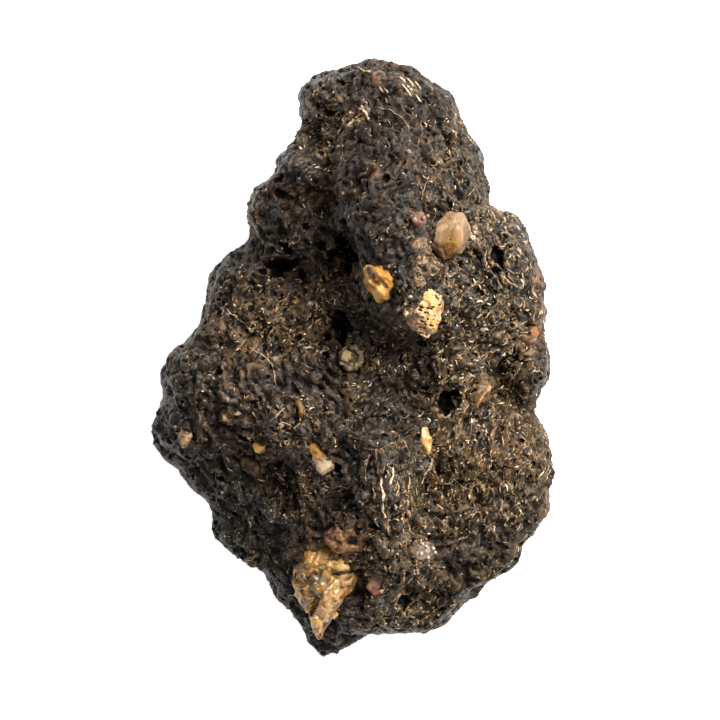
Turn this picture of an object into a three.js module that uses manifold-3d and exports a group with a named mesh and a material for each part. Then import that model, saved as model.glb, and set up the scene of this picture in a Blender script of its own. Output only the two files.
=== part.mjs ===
// A lump of impactite: rock that a meteorite impact melted, frothed and froze in one piece.
// The dark body is full of gas bubbles and holds unmelted grains of quartz and feldspar.
// It lies on its flattest side. +Z is up, the long axis runs along Y, and the origin is on the
// surface that it rests on, under the middle of its plan. Everything is in millimetres.
//
// The body is the skin of a solid that is written as one function, bodyDistance(point):
// hand-placed lumps flow into each other, hollows are scooped out of them, and noise roughens
// the result. A net of squares is laid over that skin and evened out on it. Each grain is a small
// closed mesh of its own, and the body gets a pocket that is a little larger than the grain.

import * as THREE from "three";
import { ConvexGeometry } from "three/addons/geometries/ConvexGeometry.js";
import { ImprovedNoise } from "three/addons/math/ImprovedNoise.js";
import { mergeVertices } from "three/addons/utils/BufferGeometryUtils.js";
import Module from "manifold-3d";

// ---------- driving dimensions ----------

const LENGTH = 59.8; // along Y
const WIDTH = 40.4; // along X
const HEIGHT = 28.8; // from the resting face to the crest
const ROOM = new THREE.Vector3(46, 66, 36); // the space that the body's skin is looked for in
const CELL = 1.55; // the skin's cubes, and so about the size of its triangles
const SETTLE_PASSES = 8;
const FLAT = 0.06; // a vertex this near the resting plane lies in it
const BLEND = 3.2; // how far two lumps flow into each other
const RIM_BLEND = 1.8;
const HOLLOW_BLEND = 1;
const BEND = { size: 9, reach: 0.9 }; // how far noise bends the lumps out of true
const GRAIN_GAP = 0.3; // between a grain and the wall of its pocket

// ---------- the body's form ----------

// A lump is an ellipsoid: centre x, y, z, then half sizes along x, y, z, then a turn about z.
const lump = (x, y, z, a, b, c, turn = 0) => ({
  centre: new THREE.Vector3(x, y, z),
  half: new THREE.Vector3(a, b, c),
  cos: Math.cos(THREE.MathUtils.degToRad(turn)),
  sin: Math.sin(THREE.MathUtils.degToRad(turn)),
});

const MASSES = [
  lump(-0.5, -3, 9.7, 14, 17, 9.7),
  lump(2.5, 13.5, 10.4, 8.5, 12, 10),
  lump(1.5, -17, 8.6, 10.5, 10.5, 8),
  lump(10.2, -10.6, 7.4, 8.5, 9.8, 7.4, 20),
];

// The lumps of the underside. The first three are the feet that it rests on.
const UNDER_LUMPS = [
  lump(2.8, 15.8, 3.3, 4.2, 5, 3.9),
  lump(-8, -7.5, 3.3, 4.6, 4.4, 3.9, 25),
  lump(10.6, -12.4, 3.3, 4.8, 5, 3.9),
  lump(-1.5, -19.5, 4.2, 4, 4.2, 3.4, 30),
  lump(9.4, 1.8, 4.8, 3.8, 4.6, 3.8, -20),
  lump(-5.6, 6.5, 4.6, 3.4, 5, 3.6, 30),
  lump(0.8, 24, 6.4, 4.6, 3.6, 3.6),
];

// The lobes that make the outline, clockwise from the left corner of the crown.
const RIM_LOBES = [
  lump(-2.9, 25.6, 13, 2.6, 2.9, 6),
  lump(-0.8, 26.7, 13, 2.4, 2.2, 6),
  lump(3.3, 23.1, 13, 6.3, 6.7, 9),
  lump(8, 24.6, 13, 2.6, 2.8, 7),
  lump(10.3, 19.2, 13, 2.9, 3.3, 7.5),
  lump(13.6, 10.2, 12, 4.1, 4.5, 8),
  lump(16.9, 5.1, 10, 2.3, 2.8, 6.5),
  lump(16.2, 2.2, 10, 2.2, 2.4, 6),
  lump(17.1, -1, 9.5, 2.9, 3.1, 6.5),
  lump(14.9, -9, 8.5, 4.5, 4.6, 7),
  lump(17.4, -15.3, 7.5, 2.4, 2.4, 5),
  lump(14.3, -19.7, 7, 2.2, 2.2, 5),
  lump(12.2, -20.9, 7, 2.1, 1.8, 5),
  lump(9.7, -23.2, 7, 2.2, 2.1, 5.5),
  lump(6.1, -25.4, 7.5, 3.2, 2.5, 5.5),
  lump(2.5, -24.2, 8, 4, 3.7, 6.5),
  lump(-2.5, -27.8, 6, 2.4, 2.1, 4),
  lump(-4.1, -23.8, 8, 2.7, 3.4, 6, 20),
  lump(-6, -22.7, 7.5, 2.1, 2.1, 5),
  lump(-7.5, -19.8, 7.5, 3.1, 2.7, 5, -35),
  lump(-10.3, -17.1, 7.2, 3.5, 3.3, 5.4, 30),
  lump(-13.2, -11.8, 7.5, 3.2, 3.1, 5.8, -40),
  lump(-15.7, -7.6, 10, 4.4, 3.8, 7.5),
  lump(-16.4, -4.9, 10.5, 3.2, 3.6, 6.5),
  lump(-15.2, -2.1, 11.5, 3.6, 3.5, 7.5),
  lump(-12.4, 2.4, 10.5, 2.3, 2.8, 6.5, 40),
  lump(-10.4, 7.6, 10, 3.7, 3.5, 7),
  lump(-7.6, 15.3, 12, 2.5, 2.4, 6),
  lump(-4, 19.2, 12.5, 3.3, 3.7, 7.5, 35),
];

// The lumps of the upper side: the ridge, its flanks and the shoulders below it.
const TOP_LUMPS = [
  lump(3.2, 18.8, 18, 4.5, 5.5, 9, -10),
  lump(3.4, 13, 20, 4.2, 5, 9),
  lump(4.4, 7, 19.5, 3.7, 4.6, 8.8, 15),
  lump(9, 14.4, 16, 4.4, 6.2, 7.5, 25),
  lump(9.4, 5.4, 15.5, 4.5, 5, 7.5, -20),
  lump(13, 8, 12.5, 5, 6, 8, 10),
  lump(-4.9, 12, 12, 4.2, 6.2, 7, 25),
  lump(-8.4, 5.2, 11, 5.2, 3.3, 7.5, -25),
  lump(-12, -3, 13, 6.5, 3.6, 7, -22),
  lump(-6, -6, 13, 6, 3.6, 7.8, -30),
  lump(-3, -0.5, 12, 5, 4, 7.5),
  lump(0.6, -8.6, 13.5, 3.8, 4.2, 8.2, -30),
  lump(3.4, -13, 13, 3.4, 6.5, 8.8, 6),
  lump(3.2, -19.6, 11, 3.8, 4.5, 7.8),
  lump(9, -2.4, 13, 4.6, 3.6, 7.5, 35),
  lump(13.2, -9.5, 7, 5.7, 7.2, 9.5, 15),
  lump(10.6, -17.2, 7, 4.8, 4.8, 7.8, 30),
];

const INNER_LUMPS = [...MASSES, ...TOP_LUMPS, ...UNDER_LUMPS];

// Hollows, written as lumps that are taken away. The last five are in the underside.
const HOLLOWS = [
  lump(-1.2, 9.8, 23, 1.8, 3, 7, -12),
  lump(-1.9, 2.8, 22, 1.7, 2.4, 6, 10),
  lump(-5.6, 8.6, 19.5, 2.4, 1.3, 4, 20),
  lump(2.5, 1.2, 24, 3.4, 2.2, 6, -20),
  lump(9.5, -4.7, 21, 1.6, 1.3, 5, 35),
  lump(-7.6, -11.8, 18, 4, 2, 4.6, -35),
  lump(-13.8, -2.4, 20.5, 2, 1.6, 2),
  lump(9.2, -9, 18.5, 1.1, 3.6, 2.6, -25),
  lump(1, -23.6, 15, 1.2, 3, 4.5, -15),
  lump(6.3, -24.7, 14, 2.2, 1.6, 4.5),
  lump(1, -1.5, -0.4, 3.4, 5.2, 2.6, 20),
  lump(3.6, -11.5, 0.2, 2.2, 3.6, 2.4, -30),
  lump(4, 8, 0.6, 3.4, 2, 2.2, 15),
  lump(-4.6, -13.8, 1.2, 2.6, 1.6, 2.2, -20),
  lump(-2.8, 16.5, 3.2, 1.6, 3.2, 2.4, 10),
];

const KNOBS = { size: 3.1, height: 1.5 }; // the froth's larger knobs, with creases between them
const KNURLS = { size: 1.6, height: 0.35 }; // and smaller lumps on them
const noise = new ImprovedNoise();

// Signed distance to an ellipsoid, near enough close to its skin.
function lumpDistance(l, p) {
  const dx = p.x - l.centre.x;
  const dy = p.y - l.centre.y;
  const x = (dx * l.cos + dy * l.sin) / l.half.x;
  const y = (dy * l.cos - dx * l.sin) / l.half.y;
  const z = (p.z - l.centre.z) / l.half.z;
  const scaled = Math.hypot(x, y, z);
  const slope = Math.hypot(x / l.half.x, y / l.half.y, z / l.half.z);
  return slope > 1e-9 ? (scaled * (scaled - 1)) / slope : -l.half.x;
}

// The smaller of two distances, with the crease between them rounded over a width.
function blendedMin(a, b, width) {
  const near = Math.max(width - Math.abs(a - b), 0) / width;
  return Math.min(a, b) - (near * near * width) / 4;
}

// The point moved a little by noise, so that an ellipsoid drawn around it comes out irregular.
const bent = new THREE.Vector3();
function bend(p) {
  const { size, reach } = BEND;
  const along = (dx, dy) => reach * noise.noise(p.x / size + dx, p.y / size + dy, p.z / size);
  return bent.set(p.x + along(0, 0), p.y + along(31, 7), p.z + along(5, 53));
}

const roughness = (p, size) => noise.noise(p.x / size, p.y / size, p.z / size);

function bodyDistance(p) {
  const q = bend(p);
  let solid = Infinity;
  for (const l of INNER_LUMPS) solid = blendedMin(solid, lumpDistance(l, q), BLEND);
  for (const l of RIM_LOBES) solid = blendedMin(solid, lumpDistance(l, q), RIM_BLEND);
  for (const h of HOLLOWS) solid = -blendedMin(-solid, lumpDistance(h, q), HOLLOW_BLEND);
  solid -= KNOBS.height * (Math.abs(roughness(p, KNOBS.size)) - 0.25);
  solid -= KNURLS.height * roughness(p, KNURLS.size);
  return Math.max(solid, -p.z);
}

// ---------- the skin ----------

const probe = new THREE.Vector3();
const STEP = 0.02; // for slopes

function bodySlope(p, here, out) {
  out.x = bodyDistance(probe.set(p.x + STEP, p.y, p.z)) - here;
  out.y = bodyDistance(probe.set(p.x, p.y + STEP, p.z)) - here;
  out.z = bodyDistance(probe.set(p.x, p.y, p.z + STEP)) - here;
  return out.divideScalar(STEP);
}

// Samples the body on a grid of cubes. Where a cube's face has two solid corners across from
// each other and two empty ones, a third is filled, so that no two sheets of skin share an edge.
function sampledGrid(low, counts) {
  const [nx, ny, nz] = counts;
  const value = new Float64Array(nx * ny * nz);
  const at = (i, j, k) => i + nx * (j + ny * k);
  for (let k = 0; k < nz; k++)
    for (let j = 0; j < ny; j++)
      for (let i = 0; i < nx; i++) {
        probe.set(low.x + i * CELL, low.y + j * CELL, low.z + k * CELL);
        value[at(i, j, k)] = bodyDistance(probe.clone());
      }
  const steps = [1, nx, nx * ny];
  const JUST_SOLID = -0.02;
  for (let changed = true; changed; ) {
    changed = false;
    for (let n = 0; n < value.length; n++)
      for (const [u, v] of [[0, 1], [1, 2], [0, 2]]) {
        const corners = [n, n + steps[u], n + steps[v], n + steps[u] + steps[v]];
        if (corners[3] >= value.length) continue;
        const [a, b, c, d] = corners.map((m) => value[m] < 0);
        if (a === d && b === c && a !== b) {
          value[corners[a ? 1 : 0]] = JUST_SOLID;
          changed = true;
        }
      }
  }
  return { value, at };
}

// Surface nets: one vertex in each cube that the skin passes through, and one square across each
// grid edge that has one end in the solid.
function netOverBody() {
  const low = new THREE.Vector3(-ROOM.x / 2, -ROOM.y / 2, -2 * CELL);
  const counts = ROOM.toArray().map((s) => Math.ceil(s / CELL) + 1);
  const { value, at } = sampledGrid(low, counts);
  const points = [];
  const vertexOf = new Map();
  const CORNERS = [0, 1, 2, 3, 4, 5, 6, 7].map((c) => [c & 1, (c >> 1) & 1, c >> 2]);

  function vertexIn(i, j, k) {
    const key = at(i, j, k);
    if (vertexOf.has(key)) return vertexOf.get(key);
    const sum = new THREE.Vector3();
    let crossings = 0;
    for (const [a, b, c] of CORNERS)
      for (const [da, db, dc] of [[1, 0, 0], [0, 1, 0], [0, 0, 1]]) {
        if (a + da > 1 || b + db > 1 || c + dc > 1) continue;
        const v0 = value[at(i + a, j + b, k + c)];
        const v1 = value[at(i + a + da, j + b + db, k + c + dc)];
        if (v0 < 0 === v1 < 0) continue;
        const t = v0 / (v0 - v1);
        sum.add(probe.set(i + a + da * t, j + b + db * t, k + c + dc * t));
        crossings++;
      }
    points.push(sum.multiplyScalar(CELL / crossings).add(low));
    vertexOf.set(key, points.length - 1);
    return points.length - 1;
  }

  const index = [];
  for (let k = 1; k < counts[2] - 1; k++)
    for (let j = 1; j < counts[1] - 1; j++)
      for (let i = 1; i < counts[0] - 1; i++) {
        const solid = value[at(i, j, k)] < 0;
        for (const axis of [0, 1, 2]) {
          const end = [i, j, k].map((n, m) => n + (m === axis ? 1 : 0));
          if (value[at(...end)] < 0 === solid) continue;
          const u = (axis + 1) % 3;
          const v = (axis + 2) % 3;
          const ring = [[1, 1], [0, 1], [0, 0], [1, 0]].map(([du, dv]) => {
            const cube = [i, j, k];
            cube[u] -= du;
            cube[v] -= dv;
            return vertexIn(...cube);
          });
          if (!solid) ring.reverse();
          index.push(...splitSquare(points, ring));
        }
      }
  return { points, index };
}

// Two triangles for a square, parted along its shorter diagonal.
function splitSquare(points, [a, b, c, d]) {
  return points[a].distanceTo(points[c]) < points[b].distanceTo(points[d])
    ? [a, b, c, a, c, d]
    : [a, b, d, b, c, d];
}

function neighboursOf(index, count) {
  const sets = Array.from({ length: count }, () => new Set());
  for (let i = 0; i < index.length; i += 3)
    for (const [a, b] of [[0, 1], [1, 2], [2, 0]]) {
      sets[index[i + a]].add(index[i + b]);
      sets[index[i + b]].add(index[i + a]);
    }
  return sets.map((s) => [...s]);
}

// Evens out the net: each pass slides every vertex along the skin towards the middle of its
// neighbours, then moves it along the body's slope back onto the skin.
function settle(points, index) {
  const neighbours = neighboursOf(index, points.length);
  const slope = new THREE.Vector3();
  const slide = new THREE.Vector3();
  for (let pass = 0; pass < SETTLE_PASSES; pass++)
    points.forEach((p, i) => {
      const here = bodyDistance(p);
      bodySlope(p, here, slope);
      const steep = Math.max(slope.length(), 0.3);
      const back = THREE.MathUtils.clamp(here / steep, -CELL / 3, CELL / 3);
      slope.divideScalar(steep);
      slide.set(0, 0, 0);
      for (const n of neighbours[i]) slide.add(points[n]);
      slide.divideScalar(neighbours[i].length).sub(p);
      slide.addScaledVector(slope, -slide.dot(slope));
      p.addScaledVector(slope, -back).addScaledVector(slide, 0.4);
    });
  for (const p of points) if (Math.abs(p.z) < FLAT) p.z = 0;
}

function bodySkin() {
  const { points, index } = netOverBody();
  settle(points, index);
  const skin = new THREE.BufferGeometry().setFromPoints(points);
  return skin.setIndex(index);
}

// The move and stretch that bring the skin over the origin and to the driving sizes. The lumps
// are placed so close to those sizes that it changes them by no more than a few hundredths.
function fitOf(skin) {
  skin.computeBoundingBox();
  const size = skin.boundingBox.getSize(new THREE.Vector3());
  const middle = skin.boundingBox.getCenter(new THREE.Vector3());
  return new THREE.Matrix4()
    .makeScale(WIDTH / size.x, LENGTH / size.y, HEIGHT / size.z)
    .multiply(new THREE.Matrix4().makeTranslation(-middle.x, -middle.y, 0));
}

// ---------- the grains ----------

// A small seeded random source, so that a grain comes out the same each time.
function randomFrom(seed) {
  let state = seed;
  return () => {
    state = (state * 1664525 + 1013904223) % 4294967296;
    return state / 4294967296;
  };
}

// An angular grain: the hull of points set round an ellipsoid and jittered. A taper draws its
// lower end in to a point.
function angularGrain({ half, corners, seed, taper = 0, grow = 0 }) {
  const random = randomFrom(seed);
  const GOLDEN_TURN = Math.PI * (3 - Math.sqrt(5));
  const points = Array.from({ length: corners }, (_, i) => {
    const height = 1 - (2 * i + 1) / corners;
    const ring = Math.sqrt(1 - height * height);
    const turn = i * GOLDEN_TURN + 0.7 * random();
    const reach = 0.86 + 0.2 * random();
    const p = new THREE.Vector3(ring * Math.cos(turn), height, ring * Math.sin(turn));
    const narrow = 1 - taper * THREE.MathUtils.smoothstep(-height, -0.1, 1);
    p.multiplyScalar(reach).multiply(new THREE.Vector3(narrow, 1, narrow));
    return p.multiply(new THREE.Vector3(half[0] + grow, half[1] + grow, half[2] + grow));
  });
  return new ConvexGeometry(points);
}

// The pale lining of a broken bubble: a thick bowl, open upwards.
function liningBowl({ half, grow = 0 }) {
  const [radius, , depth] = half;
  const WALL = 0.42;
  const ROUND = 6;
  const arc = (r, d, from, to) =>
    Array.from({ length: ROUND + 1 }, (_, i) => {
      const t = THREE.MathUtils.lerp(from, to, i / ROUND);
      return new THREE.Vector2(r * Math.sin(t), -d * Math.cos(t));
    });
  const outer = arc(radius + grow, depth + grow, 0, Math.PI / 2);
  const inner = arc(radius - WALL, depth - WALL, Math.PI / 2, 0);
  const above = [new THREE.Vector2(radius + grow, 1), new THREE.Vector2(0, 1)];
  const profile = grow ? [...outer, ...above] : [...outer, ...inner];
  return new THREE.LatheGeometry(profile, 18).rotateX(Math.PI / 2);
}

// name, plan x and y, half sizes, turn about the upright, share of the half height that is sunk
// below the skin, corners and colour. Lean says how far it follows the slope that it lies on.
const GRAINS = [
  { name: "amber_clast", x: -2.9, y: -23, half: [3.5, 5.6, 2.7], turn: 2, sunk: 0.25, corners: 26,
    seed: 11, taper: 0.9, lean: 0.45, color: 0xb98a4c },
  { name: "smooth_quartz_clast", x: 9.7, y: 12.2, half: [2.15, 3, 1.8], turn: -32, sunk: 0.35,
    corners: 34, seed: 3, color: 0xc0a582 },
  { name: "porous_clast", x: 7.2, y: 4.6, half: [2.25, 2.65, 1.7], turn: 6, sunk: 0.4,
    corners: 20, seed: 21, lean: 0.35, color: 0xdcc4a0 },
  { name: "honey_clast", x: 2.8, y: 7.5, half: [2.05, 2.25, 1.6], turn: 15, sunk: 0.4,
    corners: 18, seed: 8, lean: 0.35, color: 0xc0904a },
  { name: "white_clast", x: -3.1, y: -10, half: [1, 1.85, 1.1], turn: 31, sunk: 0.4, corners: 16,
    seed: 5, color: 0xcdb696 },
  { name: "cream_clast", x: 7.3, y: -8.2, half: [0.62, 1.6, 0.75], turn: 5, sunk: 0.35,
    corners: 14, seed: 31, color: 0xd8bb7a },
  { name: "wedge_clast", x: 12.8, y: -3.4, half: [1.2, 1.85, 1], turn: -27, sunk: 0.4,
    corners: 12, seed: 14, lean: 0.4, color: 0xb08a60 },
  { name: "small_amber_clast", x: -9.4, y: -8.9, half: [0.8, 0.75, 0.65], turn: 20, sunk: 0.4,
    corners: 12, seed: 9, color: 0xb98a45 },
  { name: "edge_clast", x: -16.8, y: -7.9, half: [0.75, 1.3, 0.75], turn: -8, sunk: 0.4,
    corners: 12, seed: 17, color: 0xc4a878 },
  { name: "shoulder_clast", x: -12.6, y: -5.9, half: [1.05, 1.15, 0.85], turn: 10, sunk: 0.4,
    corners: 14, seed: 25, color: 0x9b7f58 },
  { name: "splinter_clast", x: -5.3, y: -4.7, half: [0.55, 1.35, 0.6], turn: 13, sunk: 0.4,
    corners: 12, seed: 19, color: 0xb08d52 },
  { name: "crown_clast", x: 2.6, y: 28.1, half: [0.9, 1.15, 0.9], turn: -8, sunk: 0.4,
    corners: 16, seed: 27, color: 0x7d5a40 },
  { name: "rim_clast", x: 17.7, y: 2.3, half: [1.25, 1.1, 0.9], turn: 30, sunk: 0.4, corners: 14,
    seed: 2, color: 0xa5805c },
  { name: "milky_clast", x: 7.1, y: -19.3, half: [1.5, 1.05, 0.8], turn: 10, sunk: 0.45,
    corners: 16, seed: 33, color: 0xb9b0a0 },
  { name: "russet_clast", x: 2.3, y: -22.9, half: [1.15, 1.3, 0.95], turn: -15, sunk: 0.45,
    corners: 14, seed: 6, color: 0x6e4f42 },
  { name: "crumbly_clast", x: -0.9, y: -18.2, half: [2.5, 1.7, 1.2], turn: -8, sunk: 0.55,
    corners: 22, seed: 12, color: 0x6b4c35 },
  { name: "hollow_clast", x: -10.2, y: -10.8, half: [1.7, 0.95, 0.85], turn: -36, sunk: 0.45,
    corners: 16, seed: 28, color: 0x5a4430 },
  { name: "pink_clast", x: 6.5, y: 13.9, half: [1.3, 0.95, 0.85], turn: -12, sunk: 0.45,
    corners: 14, seed: 41, color: 0x8d6a5c },
  { name: "bubble_lining", x: -0.2, y: 0.2, half: [1.3, 1.3, 1.15], turn: 0, sunk: 0.1,
    color: 0xa89468, shape: liningBowl },
];

// The skin under a grain as seen from straight above: a point of it, and the way it faces. Both
// are means over a few places across the grain, so that no single crease decides them.
function skinUnder(skin, x, y, half) {
  const SPREAD = 0.6; // of the grain's half sizes
  const DOWN = new THREE.Vector3(0, 0, -1);
  const place = new THREE.Vector3();
  const outwards = new THREE.Vector3();
  let hits = 0;
  for (const [u, v] of [[0, 0], [1, 0], [-1, 0], [0, 1], [0, -1]]) {
    const above = new THREE.Vector3(x + u * SPREAD * half[0], y + v * SPREAD * half[1], HEIGHT + 1);
    const [hit] = new THREE.Raycaster(above, DOWN).intersectObject(skin);
    if (!hit) continue;
    place.z += hit.point.z;
    outwards.add(hit.face.normal);
    hits++;
  }
  place.set(x, y, place.z / hits);
  return { place, outwards: outwards.normalize() };
}

// The place of a grain: on the skin, sunk into it, and leaning some way with the slope. The fit
// carries the grain's plan along with the body.
function seatOf({ x, y, half, turn, sunk, lean = 0.6 }, skin, fit) {
  const plan = new THREE.Vector3(x, y, 0).applyMatrix4(fit);
  const { place, outwards } = skinUnder(skin, plan.x, plan.y, half);
  const upright = new THREE.Vector3(0, 0, 1);
  const leaning = upright.clone().lerp(outwards, lean).normalize();
  const seat = new THREE.Quaternion().setFromUnitVectors(upright, leaning);
  const spin = THREE.MathUtils.degToRad(turn);
  seat.multiply(new THREE.Quaternion().setFromAxisAngle(upright, spin));
  place.addScaledVector(leaning, -sunk * half[2]);
  return { place, seat };
}

// ---------- the solids ----------

const wasm = await Module();
wasm.setup();

function solidOf(geometry) {
  geometry.deleteAttribute("normal");
  geometry.deleteAttribute("uv");
  const merged = mergeVertices(geometry, 1e-4);
  return new wasm.Manifold(
    new wasm.Mesh({
      numProp: 3,
      vertProperties: new Float32Array(merged.getAttribute("position").array),
      triVerts: new Uint32Array(merged.index.array),
    }),
  );
}

function geometryOf(solid) {
  const { vertProperties, triVerts, numProp } = solid.getMesh();
  const points = [];
  for (let i = 0; i < vertProperties.length; i += numProp)
    points.push(new THREE.Vector3(...vertProperties.subarray(i, i + 3)));
  return new THREE.BufferGeometry().setFromPoints(points).setIndex([...triVerts]);
}

// The largest piece of a solid, without the crumbs that a cut leaves.
function largestPiece(solid) {
  return solid.decompose().reduce((most, s) => (s.volume() > most.volume() ? s : most));
}

const impactite = new THREE.Group();
const skin = new THREE.Mesh(bodySkin());
const fit = fitOf(skin.geometry);
skin.geometry.applyMatrix4(fit);
let meltRock = solidOf(skin.geometry.clone());

for (const grain of GRAINS) {
  const { place, seat } = seatOf(grain, skin, fit);
  const shape = grain.shape ?? angularGrain;
  const mesh = new THREE.Mesh(
    shape(grain),
    new THREE.MeshStandardMaterial({ color: grain.color, roughness: 0.5, metalness: 0 }),
  );
  mesh.name = grain.name;
  mesh.position.copy(place);
  mesh.quaternion.copy(seat);
  mesh.updateMatrix();
  impactite.add(mesh);
  const pocket = shape({ ...grain, grow: GRAIN_GAP }).applyMatrix4(mesh.matrix);
  meltRock = largestPiece(meltRock.subtract(solidOf(pocket)));
}

const body = new THREE.Mesh(
  geometryOf(meltRock),
  new THREE.MeshStandardMaterial({ color: 0x45403b, roughness: 0.62, metalness: 0 }),
);
body.name = "melt_rock";
impactite.add(body);

export default impactite;
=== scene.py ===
# %% [markdown]
# # A lump of impactite
#
# When a meteorite strikes, it melts the ground under it. Gas froths the melt, and the froth freezes
# into a dark, light rock full of bubbles, with grains of quartz and feldspar that never melted.
# This lesson dresses such a lump. The solids come from a packed CAD model, one node for the rock
# and one for each large grain, and every piece made here stays where its node is.

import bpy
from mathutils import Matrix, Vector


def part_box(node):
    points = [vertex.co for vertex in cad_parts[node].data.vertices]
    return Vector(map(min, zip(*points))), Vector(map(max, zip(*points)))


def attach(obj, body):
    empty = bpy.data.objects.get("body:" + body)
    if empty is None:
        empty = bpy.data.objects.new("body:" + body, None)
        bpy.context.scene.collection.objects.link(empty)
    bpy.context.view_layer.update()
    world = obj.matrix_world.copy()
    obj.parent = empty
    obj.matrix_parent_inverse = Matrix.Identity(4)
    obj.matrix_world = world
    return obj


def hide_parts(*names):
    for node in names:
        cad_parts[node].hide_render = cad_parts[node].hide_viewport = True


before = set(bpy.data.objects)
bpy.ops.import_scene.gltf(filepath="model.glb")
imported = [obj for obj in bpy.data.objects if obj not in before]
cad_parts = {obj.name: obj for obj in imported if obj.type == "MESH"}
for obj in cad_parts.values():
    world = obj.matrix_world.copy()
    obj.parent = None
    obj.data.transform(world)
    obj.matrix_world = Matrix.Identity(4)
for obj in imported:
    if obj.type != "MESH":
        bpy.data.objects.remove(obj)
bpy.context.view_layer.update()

# %% [markdown]
# ## Working in millimetres
#
# Blender counts in metres and the lump is six centimetres long, so all shaping is done on numpy
# arrays in millimetres. Arrays move a million points at once, where a loop would take minutes.
# These helpers carry points between a mesh and an array.

# %% Points in and out of a mesh
from itertools import product

import bmesh
import bpy
import numpy as np
from mathutils import Vector
from mathutils.bvhtree import BVHTree
from mathutils.kdtree import KDTree

MM = 0.001


def read(collection, name, width, kind=np.float32):
    values = np.empty(len(collection) * width, kind)
    collection.foreach_get(name, values)
    return values.reshape(-1, width)


def points_of(mesh):
    return read(mesh.vertices, "co", 3).astype(float)


def normals_of(mesh):
    return read(mesh.vertex_normals, "vector", 3).astype(float)


def edges_of(mesh):
    return read(mesh.edges, "vertices", 2, np.int32)


def put_points(mesh, points):
    mesh.vertices.foreach_set("co", points.astype(np.float32).ravel())
    mesh.update()


def object_of(name, mesh):
    piece = bpy.data.objects.new(name, mesh)
    bpy.context.scene.collection.objects.link(piece)
    return piece


def copy_in_mm(node, name):
    """A copy of a CAD node as an object of its own, with its mesh in millimetres."""
    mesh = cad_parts[node].data.copy()
    mesh.materials.clear()
    put_points(mesh, points_of(mesh) / MM)
    return object_of(name, mesh)


def add_modifier(piece, kind, **settings):
    modifier = piece.modifiers.new(kind.lower(), kind)
    for name, value in settings.items():
        setattr(modifier, name, value)
    return modifier


def apply_modifiers(piece):
    """Makes the modified shape the piece's own mesh."""
    shaped = piece.evaluated_get(bpy.context.evaluated_depsgraph_get())
    old = piece.data
    mesh = bpy.data.meshes.new_from_object(shaped)
    piece.modifiers.clear()
    piece.data = mesh
    bpy.data.meshes.remove(old)
    return mesh


print("the rock's CAD solid has", len(points_of(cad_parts["melt_rock"].data)), "points")

# %% [markdown]
# ## Finding points by their place
#
# A search tree finds the nearest of many points quickly. Listed marks are given in
# the plan, as turned ellipses, so one more helper tells how far off such an ellipse a point lies.

# %% Search helpers
def search_tree(points):
    tree = KDTree(len(points))
    for index, place in enumerate(points):
        tree.insert(place, index)
    tree.balance()
    return tree


def nearest_in(tree, points):
    """For each point, the number of the nearest point of the tree."""
    return np.array([tree.find(Vector(place))[1] for place in points])


def away_from(points, x, y, half_x, half_y, turn=0):
    """How far off points lie from x, y in the plan, where 1 is the edge of a turned ellipse."""
    cos, sin = np.cos(np.radians(turn)), np.sin(np.radians(turn))
    dx, dy = points[:, 0] - x, points[:, 1] - y
    return np.hypot((dx * cos + dy * sin) / half_x, (dy * cos - dx * sin) / half_y)


corners = np.array(list(product((0, 1), repeat=3)))
print("nearest corner of a cube:", corners[nearest_in(search_tree(corners), [(0.9, 0.2, 0.8)])])

# %% [markdown]
# ## Noise
#
# Broken rock is irregular at every size, so its relief is built from noise of several sizes. This
# is gradient noise: a grid of random directions, faded into each other. Its plain form makes soft
# swells. Its absolute value folds the zero line into creases, which leaves round knobs between
# them, as in froth.

# %% Gradient noise for many points at once
lattice_rng = np.random.default_rng(11)
LATTICE = lattice_rng.permutation(256)
DIRECTIONS = lattice_rng.normal(size=(256, 3))
DIRECTIONS /= np.linalg.norm(DIRECTIONS, axis=1)[:, None]
NOISE_REACH = 0.6  # most of the noise lies within this either side of zero


def noise_at(points, size, seed=0):
    """Noise from about -1 to 1, with swells about as wide as size."""
    place = points / size + 19.7 * seed
    cell = np.floor(place).astype(int)
    inside = place - cell
    fade = inside**3 * (inside * (inside * 6 - 15) + 10)
    total = np.zeros(len(points))
    for corner in product((0, 1), repeat=3):
        x, y, z = ((cell + corner) & 255).T
        way = DIRECTIONS[LATTICE[(LATTICE[(LATTICE[x] + y) & 255] + z) & 255]]
        weight = np.where(corner, fade, 1 - fade).prod(1)
        total += weight * (way * (inside - corner)).sum(1)
    return total / NOISE_REACH


def knobs_at(points, size, seed=0):
    """Round knobs with creases between them, from 0 in a crease to about 1."""
    return np.abs(noise_at(points, size, seed))


def smooth_step(values, low, high):
    share = np.clip((values - low) / (high - low), 0, 1)
    return share * share * (3 - 2 * share)


sample = np.random.default_rng(1).uniform(0, 50, (20000, 3))
print("noise runs from", noise_at(sample, 3).min().round(2), "to", noise_at(sample, 3).max().round(2))

# %% [markdown]
# ## The rock's large form
#
# The CAD solid has the lump's true form in flat triangles 1.5 mm wide. A voxel remesh turns it into
# an even skin of small squares, and relaxing that skin melts the facets away. Every pass of plain
# relaxing shrinks a form, so each one is followed by a slightly stronger pass outwards.

# %% Melt the facets of the CAD solid
VOXEL = 0.45  # mm
FACET_PASSES = 9


def relax(points, edges, share):
    """Moves each point some share of the way to the middle of its neighbours."""
    first, second = edges.T
    count = np.bincount(edges.ravel(), minlength=len(points))
    total = np.stack(
        [
            np.bincount(first, points[second, k], len(points))
            + np.bincount(second, points[first, k], len(points))
            for k in range(3)
        ],
        axis=1,
    )
    return points + share * (total / np.maximum(count, 1)[:, None] - points)


def relax_without_shrinking(points, edges, passes):
    for _ in range(passes):
        points = relax(relax(points, edges, 0.6), edges, -0.62)
    return points


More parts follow.
